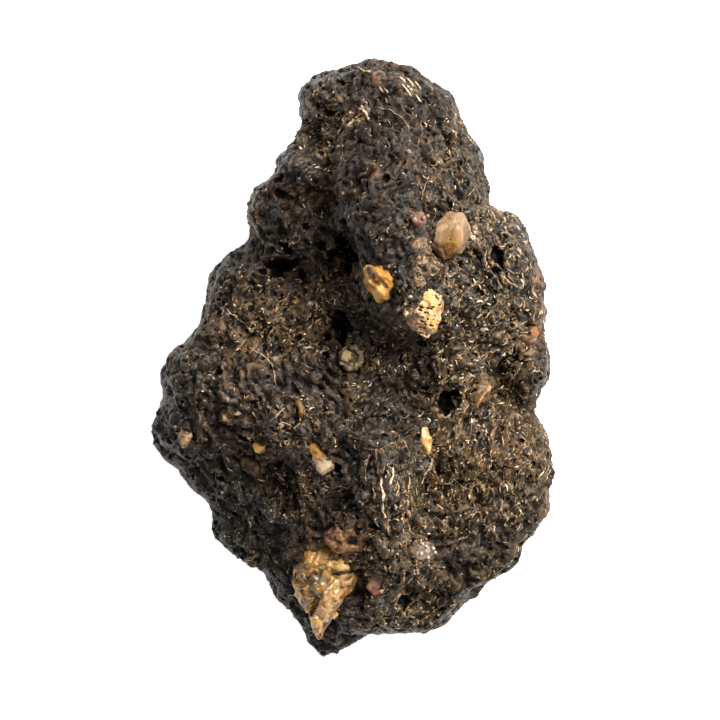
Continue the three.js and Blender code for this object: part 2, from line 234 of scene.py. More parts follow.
rock = copy_in_mm("melt_rock", "impact_melt_rock")
add_modifier(rock, "REMESH", mode="VOXEL", voxel_size=VOXEL)
rock_mesh = apply_modifiers(rock)
form = relax_without_shrinking(points_of(rock_mesh), edges_of(rock_mesh), FACET_PASSES)
print("rock skin:", len(form), "points")

# %% [markdown]
# ## Rock that grips its grains
#
# Each grain sits in a pocket of the CAD solid with a thin gap round it. Real melt wets a grain and
# freezes onto it. So the skin near a grain is drawn onto it, and a little under it, and the pull
# fades out within a millimetre.

# %% Draw the skin onto the grains
GRAINS = [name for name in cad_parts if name.endswith("_clast")]
GRIP_FULL, GRIP_END, GRIP_DEPTH = 0.4, 1.1, 0.15  # mm


def tree_of(mesh):
    return BVHTree.FromPolygons([v.co / MM for v in mesh.vertices], [p.vertices for p in mesh.polygons])


def grip(points, node):
    tree = tree_of(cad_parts[node].data)
    low, high = (np.array(corner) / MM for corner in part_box(node))
    near = np.flatnonzero(((points > low - GRIP_END) & (points < high + GRIP_END)).all(1))
    for index in near:
        spot, outwards, _, distance = tree.find_nearest(Vector(points[index]), GRIP_END)
        if spot is None:
            continue
        pull = 1 - float(smooth_step(distance, GRIP_FULL, GRIP_END))
        target = np.array(spot - GRIP_DEPTH * outwards)
        points[index] += pull * (target - points[index])


for name in GRAINS:
    grip(form, name)
put_points(rock_mesh, form)
form_edges, form_outwards = edges_of(rock_mesh), normals_of(rock_mesh)
print("the rock grips", len(GRAINS), "grains")

# %% [markdown]
# ## A finer skin
#
# The froth needs points about a tenth of a millimetre apart. Two levels of subdivision give them.

# %% Subdivide the skin
SKIN_LEVELS = 2
add_modifier(rock, "SUBSURF", levels=SKIN_LEVELS, render_levels=SKIN_LEVELS)
rock_mesh = apply_modifiers(rock)
skin = points_of(rock_mesh)
outwards = normals_of(rock_mesh)
print("finer skin:", len(skin), "points")

# %% [markdown]
# ## The way the melt flowed
#
# The melt ran round the lump before it froze, and its bubbles and threads were drawn out along its
# path. Each line below is a soft patch of the plan and the heading of the flow in it. Between the
# patches slow noise takes over. Noise that is averaged along the flow turns into ropes: long
# swells with long furrows between them.

# %% Headings of the flow and ropes along it
# Plan x and y, half sizes, in mm, then the heading in degrees from the x axis.
FLOW = [
    (7.0, 25.5, 5, 5, -50), (9.5, 18.5, 4, 5, -55), (11.0, 14.0, 4, 4, -60), (14.5, 9.5, 3, 4, -62),
    (18.0, 7.0, 2.4, 6, -80), (11.0, 4.5, 5, 2.6, 30), (16.0, 1.0, 4, 3, 45), (4.5, -14.0, 3, 6, 90),
    (5.0, -26.0, 5, 3, 45), (10.5, -6.0, 3, 3, 60), (-10.0, 3.5, 6, 4, 35), (-11.0, -12.0, 5, 5, -60),
    (15.0, -12.0, 5, 7, 70), (-2.0, 20.0, 4, 5, 20),
]
FLOW_PULL = 1.4  # of a patch, against the noise
ROPE_TAPS = 7  # samples of the noise along a rope


def unit(vectors):
    return vectors / np.maximum(np.linalg.norm(vectors, axis=-1, keepdims=True), 1e-9)


def flow_at(points, outwards):
    """The heading of the flow along the skin."""
    flow = np.stack([noise_at(points, 4.0, seed) for seed in (51, 52, 53)], axis=1)
    for x, y, half_x, half_y, heading in FLOW:
        away = away_from(points, x, y, half_x, half_y)
        way = np.array([np.cos(np.radians(heading)), np.sin(np.radians(heading)), 0])
        flow += FLOW_PULL * (1 - smooth_step(away, 0.5, 1.3))[:, None] * way
    return unit(flow - outwards * (flow * outwards).sum(1, keepdims=True))


def ropes_at(points, flow, size, reach, seed):
    """Ropes about as wide as size, drawn out along the flow, mostly from -1 to 1."""
    taps = [noise_at(points + share * reach * flow, size, seed) for share in np.linspace(-1, 1, ROPE_TAPS)]
    total = np.mean(taps, axis=0)
    return 0.5 * total / total.std()


flow = flow_at(skin, outwards)
print("a point of the skin flows towards", flow[0].round(2))

# %% [markdown]
# ## Knobs and creases
#
# Froth freezes into knobs of many sizes. Knob noise lifts the skin between creases, and each size
# is lower than the one before. The points are first pushed about by soft noise, so that knobs come
# out bent and no two creases meet alike. Thin raised wrinkles, where one more noise passes through
# zero, run between the knobs, and ropes lie along the flow. The steep sides were chilled first and
# stayed smoother, so the relief is lower there. The resting flats keep their place, because the
# lift fades out close to the ground.

# %% Lift the skin into knobs
KNOBS = [(3.6, 0.85), (1.9, 0.62), (1.0, 0.46), (0.56, 0.2)]  # width and height, mm
WRINKLE = (0.85, 0.12)
ROPES = (0.62, 0.8, 0.34)  # width, reach along the flow and height, mm
RIM_SHARE = 0.25  # of the lift, left on the steep sides
SWIRL = (1.6, 0.45)  # size and reach of the push, mm
GROUND_FADE = 0.7  # mm
# the dark crease round the wider knobs is painted shade
FINEST_CREASE = 1.5  # mm, narrower knobs have no dark crease round them


def swirled(points, size, reach):
    pushes = [noise_at(points, size, seed) for seed in (31, 32, 33)]
    return points + reach * np.stack(pushes, axis=1)


bent = swirled(skin, *SWIRL)
upright = RIM_SHARE + (1 - RIM_SHARE) * smooth_step(np.abs(outwards[:, 2]), 0.05, 0.6)
lift = np.zeros(len(skin))
crease = np.zeros(len(skin))
for seed, (width, height) in enumerate(KNOBS):
    knob = knobs_at(bent, width, seed)
    lift += height * (knob**0.8 - 0.42) * upright
    if width > FINEST_CREASE:
        crease = np.maximum(crease, 1 - smooth_step(knob, 0.03, 0.2 / width + 0.06))
wrinkle = (1 - np.minimum(knobs_at(swirled(skin, 0.7, 0.3), WRINKLE[0], 7), 1)) ** 4
lift += WRINKLE[1] * wrinkle * upright
ropes = ropes_at(bent, flow, ROPES[0], ROPES[1], 8)
lift += ROPES[2] * np.clip(ropes, -1.2, 0.9) * upright
lift *= smooth_step(skin[:, 2], 0, GROUND_FADE)
skin = skin + outwards * lift[:, None]
put_points(rock_mesh, skin)
print("knobs lift the skin from", lift.min().round(2), "to", lift.max().round(2), "mm")

# %% [markdown]
# ## Gas bubbles
#
# A bubble that reached the skin left a pit with a thin raised rim. Most bubbles were drawn out
# along the flow, and some stayed round. Each bubble here has a middle on the skin, a direction that
# it opens in, a radius, a depth and a stretch. The large ones are listed, because they
# stand out from a step away. They open upwards more than the skin under them does.

# %% Listed pits
# Plan x and y, then half width, all in mm.
LARGE_PITS = [
    (-5.2, 2.3, 0.42), (-10.7, -8.0, 0.5), (-1.5, -11.2, 0.55), (-7.2, -10.7, 0.45),
    (9.4, -4.6, 0.62), (10.1, -5.2, 0.4), (14.6, 10.3, 0.62), (15.0, 9.3, 0.55), (14.5, 8.6, 0.5),
    (4.9, -24.5, 0.6), (-5.1, 8.6, 0.5), (-2.5, 0.3, 0.5), (15.3, 12.3, 0.32), (15.8, 11.2, 0.32),
    (15.9, 12.7, 0.2), (16.3, 10.9, 0.24), (10.3, -14.8, 0.3), (-1.0, 13.6, 0.5), (-4.6, 13.0, 0.4),
    (3.5, 17.9, 0.4), (-7.3, 11.3, 0.4), (0.7, 21.8, 0.4), (6.2, 23.4, 0.35), (-13.5, -1.2, 0.5),
    (1.6, -14.6, 0.35), (6.6, -15.3, 0.35), (-13.1, -12.2, 0.4), (-9.5, -15.6, 0.4),
    (-0.7, 10.3, 1.15), (-0.2, 9.2, 0.8), (-1.0, 11.6, 0.7), (-1.6, 2.9, 1.05), (-1.1, 3.9, 0.7),
    (-2.3, 1.9, 0.6), (-7.6, 9.2, 0.85), (-6.2, 9.5, 0.8), (-8.8, 8.8, 0.5), (-6.6, 10.9, 0.6),
    (9.4, -4.2, 0.9), (10.2, -3.6, 0.5), (5.6, -24.7, 0.7), (-3.3, 11.2, 0.6),
]
STRETCH, ROUND_STRETCH = 1.7, 1.1  # along the flow
ROUND_UP_TO = 0.6  # mm, placed pits no wider than this stayed round
PLACED_DEPTH = 2.4  # of the radius
UPWARD = (0, 0, 1.2)  # added to the way a placed pit opens
bubbles = []
taken = {}
CELL = 0.7  # mm, of the grid that finds neighbours
outwards = normals_of(rock_mesh)


def top_at(x, y, reach=0.15):
    """The number of the highest skin point near a place of the plan."""
    near = np.flatnonzero(np.hypot(skin[:, 0] - x, skin[:, 1] - y) < reach)
    return near[np.argmax(skin[near, 2])]


def room_for(place, radius, spacing):
    cell = tuple((place // CELL).astype(int))
    for shift in product((-1, 0, 1), repeat=3):
        for other, other_radius in taken.get(tuple(np.add(cell, shift)), []):
            if np.linalg.norm(place - other) < spacing * (radius + other_radius):
                return False
    return True


def add_bubble(place, axis, radius, depth, stretch):
    taken.setdefault(tuple((place // CELL).astype(int)), []).append((place, radius))
    bubbles.append((place, axis, radius, depth, stretch))


for x, y, radius in LARGE_PITS:
    index = top_at(x, y)
    stretch = STRETCH if radius > ROUND_UP_TO else ROUND_STRETCH
    add_bubble(skin[index], unit(outwards[index] + UPWARD), radius, PLACED_DEPTH, stretch)
print("pits placed by hand:", len(bubbles))

# %% [markdown]
# ## Small bubbles
#
# Small bubbles are many, so they are scattered at random, the wider ones first. Each looks for
# neighbours in the grid and only stays where it keeps apart from them, as bubbles in a froth do.

# %% Scatter the small bubbles
bubble_rng = np.random.default_rng(5)
BUBBLES = [(0.42, 60), (0.31, 360), (0.23, 1200), (0.17, 2400), (0.13, 1500)]  # radius mm, how many
SPACING = 1.06  # between two middles, in sums of their radii
TRIES = 4  # for each bubble wanted
for typical, wanted in BUBBLES:
    made = 0
    for index in bubble_rng.integers(len(skin), size=TRIES * wanted):
        radius = typical * bubble_rng.uniform(0.8, 1.2)
        if made < wanted and skin[index, 2] > 1 and room_for(skin[index], radius, SPACING):
            add_bubble(skin[index], outwards[index], radius, bubble_rng.uniform(0.9, 1.6), STRETCH)
            made += 1
print("bubbles:", len(bubbles))

# %% [markdown]
# ## Pressing the bubbles in
#
# Points inside a bubble sink to its round floor, and those just outside rise to form the rim. A
# little noise in the distance keeps the rims from being true circles. How far a point is in a pit
# or on a rim is kept, because the colours need it too.

# %% Press the bubbles into the skin
RIM_REACH = 0.5  # of the radius
RIM_HEIGHT = 0.06  # mm


def press_bubbles(points, outwards, bubbles, rim_height, ways):
    """The points with bubbles pressed in, and how far each is in a pit and on a rim."""
    neighbours = search_tree(points)
    pit, rim = np.zeros(len(points)), np.zeros(len(points))
    shift = np.zeros_like(points)
    wobble = 1 + 0.2 * noise_at(points, 0.35, 12) + 0.22 * noise_at(points, 1.1, 13)
    for place, axis, radius, depth, stretch in bubbles:
        found = neighbours.find_range(Vector(place), radius * stretch * (1 + RIM_REACH))
        index = np.array([hit[1] for hit in found])
        along = ((points[index] - place) * ways[index]).sum(1) / radius
        away = np.array([hit[2] for hit in found]) / radius
        away = np.sqrt(np.maximum(away**2 - (1 - 1 / stretch**2) * along**2, 0)) * wobble[index]
        hollow = np.sqrt(np.clip(1 - away**2, 0, 1))
        ridge = np.exp(-(((away - 1.12) / 0.2) ** 2))
        deeper = hollow > pit[index]
        shift[index[deeper]] = -depth * radius * hollow[deeper, None] * axis
        pit[index] = np.maximum(pit[index], hollow)
        rim[index] = np.maximum(rim[index], ridge)
    rim *= 1 - np.clip(2 * pit, 0, 1)
    return points + shift + rim_height * rim[:, None] * outwards, pit, rim


skin, pit, rim = press_bubbles(skin, outwards, bubbles, RIM_HEIGHT, flow)
skin[:, 2] = np.maximum(skin[:, 2], 0)
put_points(rock_mesh, skin)
print("share of the skin inside a bubble:", (pit > 0).mean().round(3))

# %% [markdown]
# ## Fewer triangles where they don't show
#
# Decimation keeps triangles where the skin bends and merges them where it is flat. A vertex group
# says how readily each part gives up its triangles: the side that the lump rests on does so first,
# and the side that faces up last. No weight is zero, because such points would keep everything.

# %% Thin out the skin
TRIANGLES = 197000  # triangles the thinned piece is given; the piece stays under 200,000
# Points that face up less than the first number get the second as their weight.
WEIGHTS = [(1.1, 0.2), (0.2, 0.4), (0.03, 0.7), (-0.15, 1.0)]
add_modifier(rock, "TRIANGULATE")
rock_mesh = apply_modifiers(rock)
facing = normals_of(rock_mesh)[:, 2]
hidden = rock.vertex_groups.new(name="hidden")
for below, weight in WEIGHTS:
    hidden.add(np.flatnonzero(facing < below).tolist(), weight, "REPLACE")
thinned = TRIANGLES / len(rock_mesh.polygons)
add_modifier(rock, "DECIMATE", ratio=thinned, vertex_group="hidden", vertex_group_factor=6.0)
rock_mesh = apply_modifiers(rock)
rock.vertex_groups.clear()
print("rock:", len(rock_mesh.polygons), "triangles")

# %% [markdown]
# ## Marks for the colours
#
# The thinned skin has new points, so each takes what is known of the nearest point of the dense
# skin: pits, rims, wrinkles, ropes, creases and the way of the flow. These are stored on the mesh
# by name, and the material reads them.

# %% Carry the marks over to the thinned skin
thin = points_of(rock_mesh)
thin[:, 2] = np.maximum(thin[:, 2], 0)
source = nearest_in(search_tree(skin), thin)


def mark(mesh, name, values):
    layer = mesh.attributes.new(name, "FLOAT", "POINT")
    layer.data.foreach_set("value", np.asarray(values, np.float32))


for name, values in {"pit": pit, "rim": rim, "wrinkle": wrinkle, "rope": ropes, "crease": crease}.items():
    mark(rock_mesh, name, values[source])
thin_flow = flow[source]
flow_layer = rock_mesh.attributes.new("flow", "FLOAT_VECTOR", "POINT")
flow_layer.data.foreach_set("vector", thin_flow.astype(np.float32).ravel())
print("marks:", [layer.name for layer in rock_mesh.attributes if layer.domain == "POINT"])

# %% [markdown]
# ## Where the rock is dusty, olive or slate grey
#
# Weather has stained the lump unevenly. Tan dust sits on the shoulders, the lower right face is
# olive brown, and some ridges are worn to slate grey. Slate grey is also laid on some shaded
# hollows to lighten them, as painted light. The hollows and crevices are a green black, partly
# dark glass and partly painted shade. Pale crust grew beside some grains, rust coloured parts of
# the rim, and where the froth is gilt the rims of its bubbles are worn bright. Each stain is a
# soft patch of the plan, listed here. A number between 0 and 1 for each point of the skin tells
# the material how much of a stain is there. Rust and crust settled only on what faces up.

# %% Mark the stains
# Plan x and y, half sizes and turn, in mm and degrees, then strength.
STAINS = {
    "dust": [
        (-8.5, 3.4, 6.5, 3.4, -20, 0.9), (-1.2, -18.3, 3.4, 2.4, 0, 0.7), (16.0, 1.5, 2.4, 2.6, 0, 0.4),
        (-3.5, 17.5, 3.0, 4.0, 0, 0.3), (11.5, -2.8, 3.0, 2.6, 30, 0.5), (8.9, 9.2, 2.4, 2.2, 0, 0.4),
        (-12.5, -4.2, 3.4, 2.0, 0, 0.45), (-11.5, 0.8, 2.2, 2.4, 0, 0.7), (-4.3, -13.5, 1.4, 4.0, 0, 0.4),
        (-17.0, -0.5, 1.5, 2.5, 0, 0.4), (12.5, 0.8, 2.6, 1.2, 0, 0.6), (14.8, -10.5, 3.2, 4.0, 0, 0.35),
    ],
    "olive": [
        (14.0, -11.5, 7.0, 11.5, 0, 0.85), (9.0, -19.5, 6.0, 4.5, 30, 0.6), (0.8, -3.2, 2.2, 3.0, 0, 0.9),
        (-8.0, 9.5, 3.6, 3.2, 0, 0.3), (-10.5, -16.0, 6.5, 6.5, 30, 0.35),
    ],
    # slate grey of worn ridges; some patches lighten shaded hollows, as painted light
    "slate": [
        (-8.6, -3.4, 4.6, 4.0, 0, 0.9), (3.4, -15.6, 2.8, 5.6, 0, 1.0), (4.2, 11.0, 3.6, 7.5, 0, 0.65),
        (1.5, -26.8, 4.0, 2.2, 0, 0.9), (-3.5, 23.5, 3.4, 3.4, 0, 0.7), (-14.0, -1.6, 3.4, 3.0, 0, 0.4),
        (-4.5, -8.8, 3.6, 2.0, -30, 0.8), (6.0, 19.5, 4.0, 5.0, 0, 0.6), (18.5, 9.0, 1.6, 4.6, 0, 0.3),
        (-4.5, 10.4, 4.5, 2.4, -10, 0.5), (4.8, 1.2, 3.4, 1.8, 0, 0.7), (-1.9, 21.1, 1.4, 1.2, 0, 1.0),
        (2.9, 25.9, 1.8, 1.3, 0, 1.0), (-9.0, -7.6, 3.6, 1.4, 0, 0.9), (-4.3, -14.5, 1.4, 4.0, 0, 0.9),
        (-1.9, -4.0, 1.6, 2.4, 0, 0.8),
    ],
    # green black: partly dark glass, partly painted shade in crevices and shaded zones
    "murk": [
        (-11.2, -15.0, 4.0, 5.8, 35, 0.9), (-1.6, 3.2, 2.6, 3.2, 0, 0.3), (-14.5, 7.5, 2.4, 3.0, 20, 0.7),
        (13.5, -17.5, 4.0, 3.0, 30, 0.5), (9.5, -4.8, 1.6, 2.0, 0, 0.8), (5.5, -24.5, 3.0, 1.6, 20, 0.7),
        (-17.5, -7.5, 1.6, 3.4, 0, 0.7), (3.4, -4.4, 2.4, 2.6, 0, 0.5), (-4.2, 0.9, 2.2, 2.2, 0, 0.75),
        (-14.6, -4.6, 3.0, 2.6, 0, 0.3), (9.0, 1.6, 3.6, 2.2, 0, 0.3), (5.2, -10.8, 1.8, 2.4, 0, 0.7),
        (11.8, 19.9, 1.4, 2.6, 0, 0.7), (-5.5, 18.7, 2.2, 1.4, 0, 0.8), (16.5, 12.5, 1.8, 2.8, -30, 0.8),
        (10.6, 7.2, 2.4, 1.8, 0, 0.9), (17.5, 4.3, 1.2, 3.0, 0, 0.6), (12.6, -0.7, 1.2, 1.0, 0, 1.0),
        (12.5, -6.6, 1.2, 2.2, 0, 0.9), (16.1, -14.9, 2.6, 1.3, 0, 0.7), (5.2, 14.8, 1.4, 2.4, 0, 0.4),
        (12.8, 8.5, 6.0, 8.0, 0, 0.6), (12.5, 19.0, 2.6, 4.0, 0, 0.4), (-17.2, 1.0, 1.8, 6.0, 0, 0.5),
    ],
    "crust": [
        (7.7, 9.8, 1.5, 1.3, -20, 0.9), (6.7, 8.2, 0.4, 1.4, 5, 0.8), (0.3, 24.0, 1.5, 0.6, 35, 0.9),
        (1.3, 24.5, 0.5, 1.1, -20, 0.9), (12.4, 12.4, 0.4, 1.1, 10, 0.9), (-0.5, 9.0, 1.2, 1.8, 0, 0.35),
        (11.0, -6.6, 1.2, 1.0, 40, 0.3), (7.2, -19.3, 2.0, 1.4, 0, 0.4), (5.6, 27.2, 1.1, 0.7, -45, 0.6),
        (17.6, 1.2, 1.0, 1.0, 0, 0.6), (-2.6, 25.6, 2.2, 0.5, 15, 0.3), (11.9, -14.3, 1.0, 0.6, 10, 0.7),
        (5.7, 4.6, 0.5, 1.5, 10, 0.9), (9.5, -16.4, 0.4, 0.4, 0, 0.6), (6.9, 11.0, 0.8, 0.8, 0, 0.9),
    ],
    "rust": [
        (19.8, -14.6, 0.4, 1.6, 0, 0.8), (18.5, 2.4, 0.9, 1.4, 0, 0.6), (-9.9, 14.2, 0.6, 1.0, 0, 0.8),
        (11.3, 24.2, 0.5, 1.0, 0, 0.6), (4.6, 29.2, 1.4, 0.25, -20, 0.4), (8.5, -8.5, 0.9, 1.1, 0, 0.25),
        (6.2, 19.3, 0.5, 0.4, -30, 0.8), (-10.4, -4.0, 0.7, 0.6, 0, 0.5), (2.6, 19.9, 0.8, 0.6, 0, 0.5),
        (14.7, -8.0, 0.7, 1.2, 0, 0.7), (8.3, -13.0, 0.6, 1.1, 0, 0.6), (4.6, 19.5, 0.5, 0.4, -40, 0.5),
        (16.5, -25.0, 0.8, 0.5, 0, 0.4), (2.3, 18.5, 0.6, 0.5, 0, 0.4), (18.7, 6.5, 0.7, 3.4, 5, 0.45),
    ],
    "gilt": [
        (13.5, 6.0, 6.5, 11.0, 0, 0.85), (10.0, 19.5, 2.6, 6.0, -25, 0.7),
        (13.5, -10.0, 6.0, 8.0, 0, 0.8),
        (4.6, -15.0, 3.0, 6.0, 0, 0.9), (-8.5, 3.4, 6.0, 3.0, -20, 0.7), (5.0, -24.5, 5.0, 3.0, 20, 0.8),
        (11.5, -2.0, 4.0, 3.0, 30, 0.8), (-6.5, -7.5, 5.5, 3.6, 0, 0.7), (-4.5, -12.5, 3.6, 3.0, 0, 0.9),
        (2.0, -19.5, 4.0, 3.0, 0, 0.9), (-2.5, 22.5, 2.6, 3.0, 0, 0.9), (3.8, 1.5, 3.0, 2.0, 0, 0.8),
        (-1.5, 6.5, 3.0, 4.5, 0, 0.6),
    ],
}
SOFT_EDGE = 0.55  # how far a patch fades out beyond its half sizes


def stain_at(points, patches):
    total = np.zeros(len(points))
    ragged = 0.35 * noise_at(points, 2.4, 40) + 0.2 * noise_at(points, 0.9, 41)
    for *ellipse, strength in patches:
        away = away_from(points, *ellipse) + ragged
        total = np.maximum(total, strength * (1 - smooth_step(away, 1 - SOFT_EDGE, 1 + SOFT_EDGE)))
    return total


roofed = smooth_step(normals_of(rock_mesh)[:, 2], -0.1, 0.35)
for name, patches in STAINS.items():
    settled = roofed if name in ("rust", "crust") else 1
    mark(rock_mesh, name, settled * stain_at(thin, patches))
print("stains:", {name: len(patches) for name, patches in STAINS.items()})

# %% [markdown]
# ## Where the form is hollow
#
# Hollows of the large form get painted shade: darker and less glossy, since little light and no wear reach
# them.
# The form is relaxed until only its broad shape is left. Where it lies under that shape it is
# hollow, and the finished skin takes the number of the nearest point of the form.

# %% Mark the hollows
BROAD_PASSES = 60
broad = form
for _ in range(BROAD_PASSES):
    broad = relax(broad, form_edges, 0.6)
sunk = ((broad - form) * form_outwards).sum(1)
nearest = nearest_in(search_tree(form), thin)
# how deep each point lies in a hollow, for the painted shade there
mark(rock_mesh, "hollow", smooth_step(sunk[nearest], -0.1, 1.1))
print("hollows: the form lies up to", sunk.max().round(2), "mm under its mean")

put_points(rock_mesh, thin * MM)
rock_mesh.shade_smooth()
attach(rock, "root")
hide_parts("melt_rock")

# %% [markdown]
# ## Building materials from nodes
#
# A material here is a small network. Patterns are worked out from each point's place in
# millimetres, so they run through the rock like grain and need no unwrapping. These helpers add a
# node, join what it reads, and hand back its result.

# %% Node helpers
class Paint:
    """A material in the making. Its methods add pattern nodes, and return their results."""

    def __init__(self, name, **shader_sockets):
        self.material = bpy.data.materials.new(name)
        self.material.use_nodes = True
        self.tree = self.material.node_tree
        self.shader = self.tree.nodes["Principled BSDF"]
        for socket, value in shader_sockets.items():
            self.set(socket.replace("_", " "), value)
        self.place = self.scaled(self.add("ShaderNodeTexCoord").outputs["Object"], 1 / MM)

    def add(self, kind, inputs=(), **settings):
        node = self.tree.nodes.new(kind)
        for name, value in settings.items():
            setattr(node, name, value)
        for socket, value in dict(inputs).items():
            if isinstance(value, bpy.types.NodeSocket):
                self.tree.links.new(value, node.inputs[socket])
            else:
                node.inputs[socket].default_value = value
        return node

    def set(self, socket, value):
        """Sets or links one of the shader's own sockets."""
        target = self.shader.inputs[socket]
        if isinstance(value, bpy.types.NodeSocket):
            self.tree.links.new(value, target)
        else:
            target.default_value = (*value, 1) if isinstance(value, tuple) and len(value) == 3 else value

    def mark(self, name):
        return self.add("ShaderNodeAttribute", attribute_name=name).outputs["Fac"]

    def scaled(self, vector, scale):
        return self.add("ShaderNodeVectorMath", {0: vector, "Scale": scale}, operation="SCALE").outputs[0]

    def moved(self, shift, reach):
        """The place, moved by reach times a shift."""
        return self.add("ShaderNodeVectorMath", {0: self.place, 1: self.scaled(shift, reach)}).outputs[0]

    def along(self, name, reach):
        """The place, moved by reach mm along a direction stored on the mesh."""
        way = self.add("ShaderNodeAttribute", attribute_name=name).outputs["Vector"]
        return self.moved(way, reach)

    def noise(self, size, detail=2.0, rough=0.5, warp=0.0, place=None):
        """Soft noise from 0 to 1, with swells about as wide as size in mm."""
        inputs = {"Scale": 1 / size, "Detail": detail, "Roughness": rough, "Distortion": warp}
        return self.add("ShaderNodeTexNoise", {"Vector": place or self.place, **inputs}).outputs["Fac"]

    def swirl(self, size, reach):
        """The place, pushed about by noise, so that what is drawn on it comes out bent."""
        pushes = self.add("ShaderNodeTexNoise", {"Vector": self.place, "Scale": 1 / size, "Detail": 1.0})
        sides = {0: pushes.outputs["Color"], 1: (0.5, 0.5, 0.5)}
        centred = self.add("ShaderNodeVectorMath", sides, operation="SUBTRACT")
        return self.moved(centred.outputs[0], 2 * reach)

    def cells(self, size, feature="F1", place=None):
        """The distance to the middle of the nearest cell, or to its wall, in cell widths."""
        inputs = {"Vector": place or self.place, "Scale": 1 / size}
        return self.add("ShaderNodeTexVoronoi", inputs, feature=feature).outputs["Distance"]

    def step(self, value, low, high, to=(0.0, 1.0)):
        """A soft step: to[0] below low and to[1] above high."""
        inputs = {"Value": value, "From Min": low, "From Max": high, "To Min": to[0], "To Max": to[1]}
        return self.add("ShaderNodeMapRange", inputs, interpolation_type="SMOOTHSTEP").outputs[0]

    def math(self, operation, a, b=0.0):
        return self.add("ShaderNodeMath", {0: a, 1: b}, operation=operation).outputs[0]

    def times(self, *values):
        result = values[0]
        for value in values[1:]:
            result = self.math("MULTIPLY", result, value)
        return result

    def plus(self, *values):
        result = values[0]
        for value in values[1:]:
            result = self.math("ADD", result, value)
        return result

    def mix(self, share, a, b):
        """Colour a, with a share of colour b laid over it."""
        node = self.add("ShaderNodeMix", data_type="RGBA")
        node.clamp_factor = True
        for socket, value in zip((node.inputs["Factor"], node.inputs[6], node.inputs[7]), (share, a, b)):
            if isinstance(value, bpy.types.NodeSocket):
                self.tree.links.new(value, socket)
            else:
                socket.default_value = (*value, 1) if isinstance(value, tuple) else value
        return node.outputs[2]

    def layered(self, colour, *layers):
        """A colour with layers on top. Each layer is its colour, then shares to be multiplied."""
        for top, *shares in layers:
            colour = self.mix(self.times(*shares), colour, top)
        return colour

    def bump(self, height, depth):
        """Tilts the shading as if the surface stood proud by height times depth mm."""
        node = self.add("ShaderNodeBump", {"Height": height, "Strength": 1.0, "Distance": depth * MM})
        self.set("Normal", node.outputs[0])


print("patterns and mixes:", [name for name in vars(Paint) if not name.startswith("_")])

# %% [markdown]
# ## The froth's colours
#
# The melt froze to a glass that is nearly black. On it lie the stains, then thin bright walls
# between bubbles where the froth has worn through, and specks of pale mineral. Pits, creases and
# the furrows between strands and ropes are darkened as painted shade, because no light and no wear
# reach them. The hollows of the large form get a lighter touch of painted shade.

# %% Paint the froth
# near black: dark patches of the glass, and painted shade in pits, creases, furrows and hollows
SOOT_AND_SHADE = (0.0045, 0.0036, 0.003)
CHARCOAL = (0.019, 0.015, 0.012)
UMBER = (0.041, 0.025, 0.014)
# slate grey of worn ridges, also painted light in shaded hollows
SLATE_AND_PAINTED_LIGHT = (0.058, 0.045, 0.039)
OLIVE = (0.066, 0.041, 0.0125)
DUST = (0.155, 0.092, 0.04)
# green black of dark glass, also used as painted shade
MURK_AND_SHADE = (0.009, 0.01, 0.007)
CRUST = (0.27, 0.18, 0.1)
RUST = (0.2, 0.075, 0.026)
STRAND = (0.34, 0.225, 0.11)
GOLD = (0.42, 0.26, 0.1)
STRAND_TAPS = (-0.4, -0.2, 0, 0.2, 0.4)  # mm along the flow


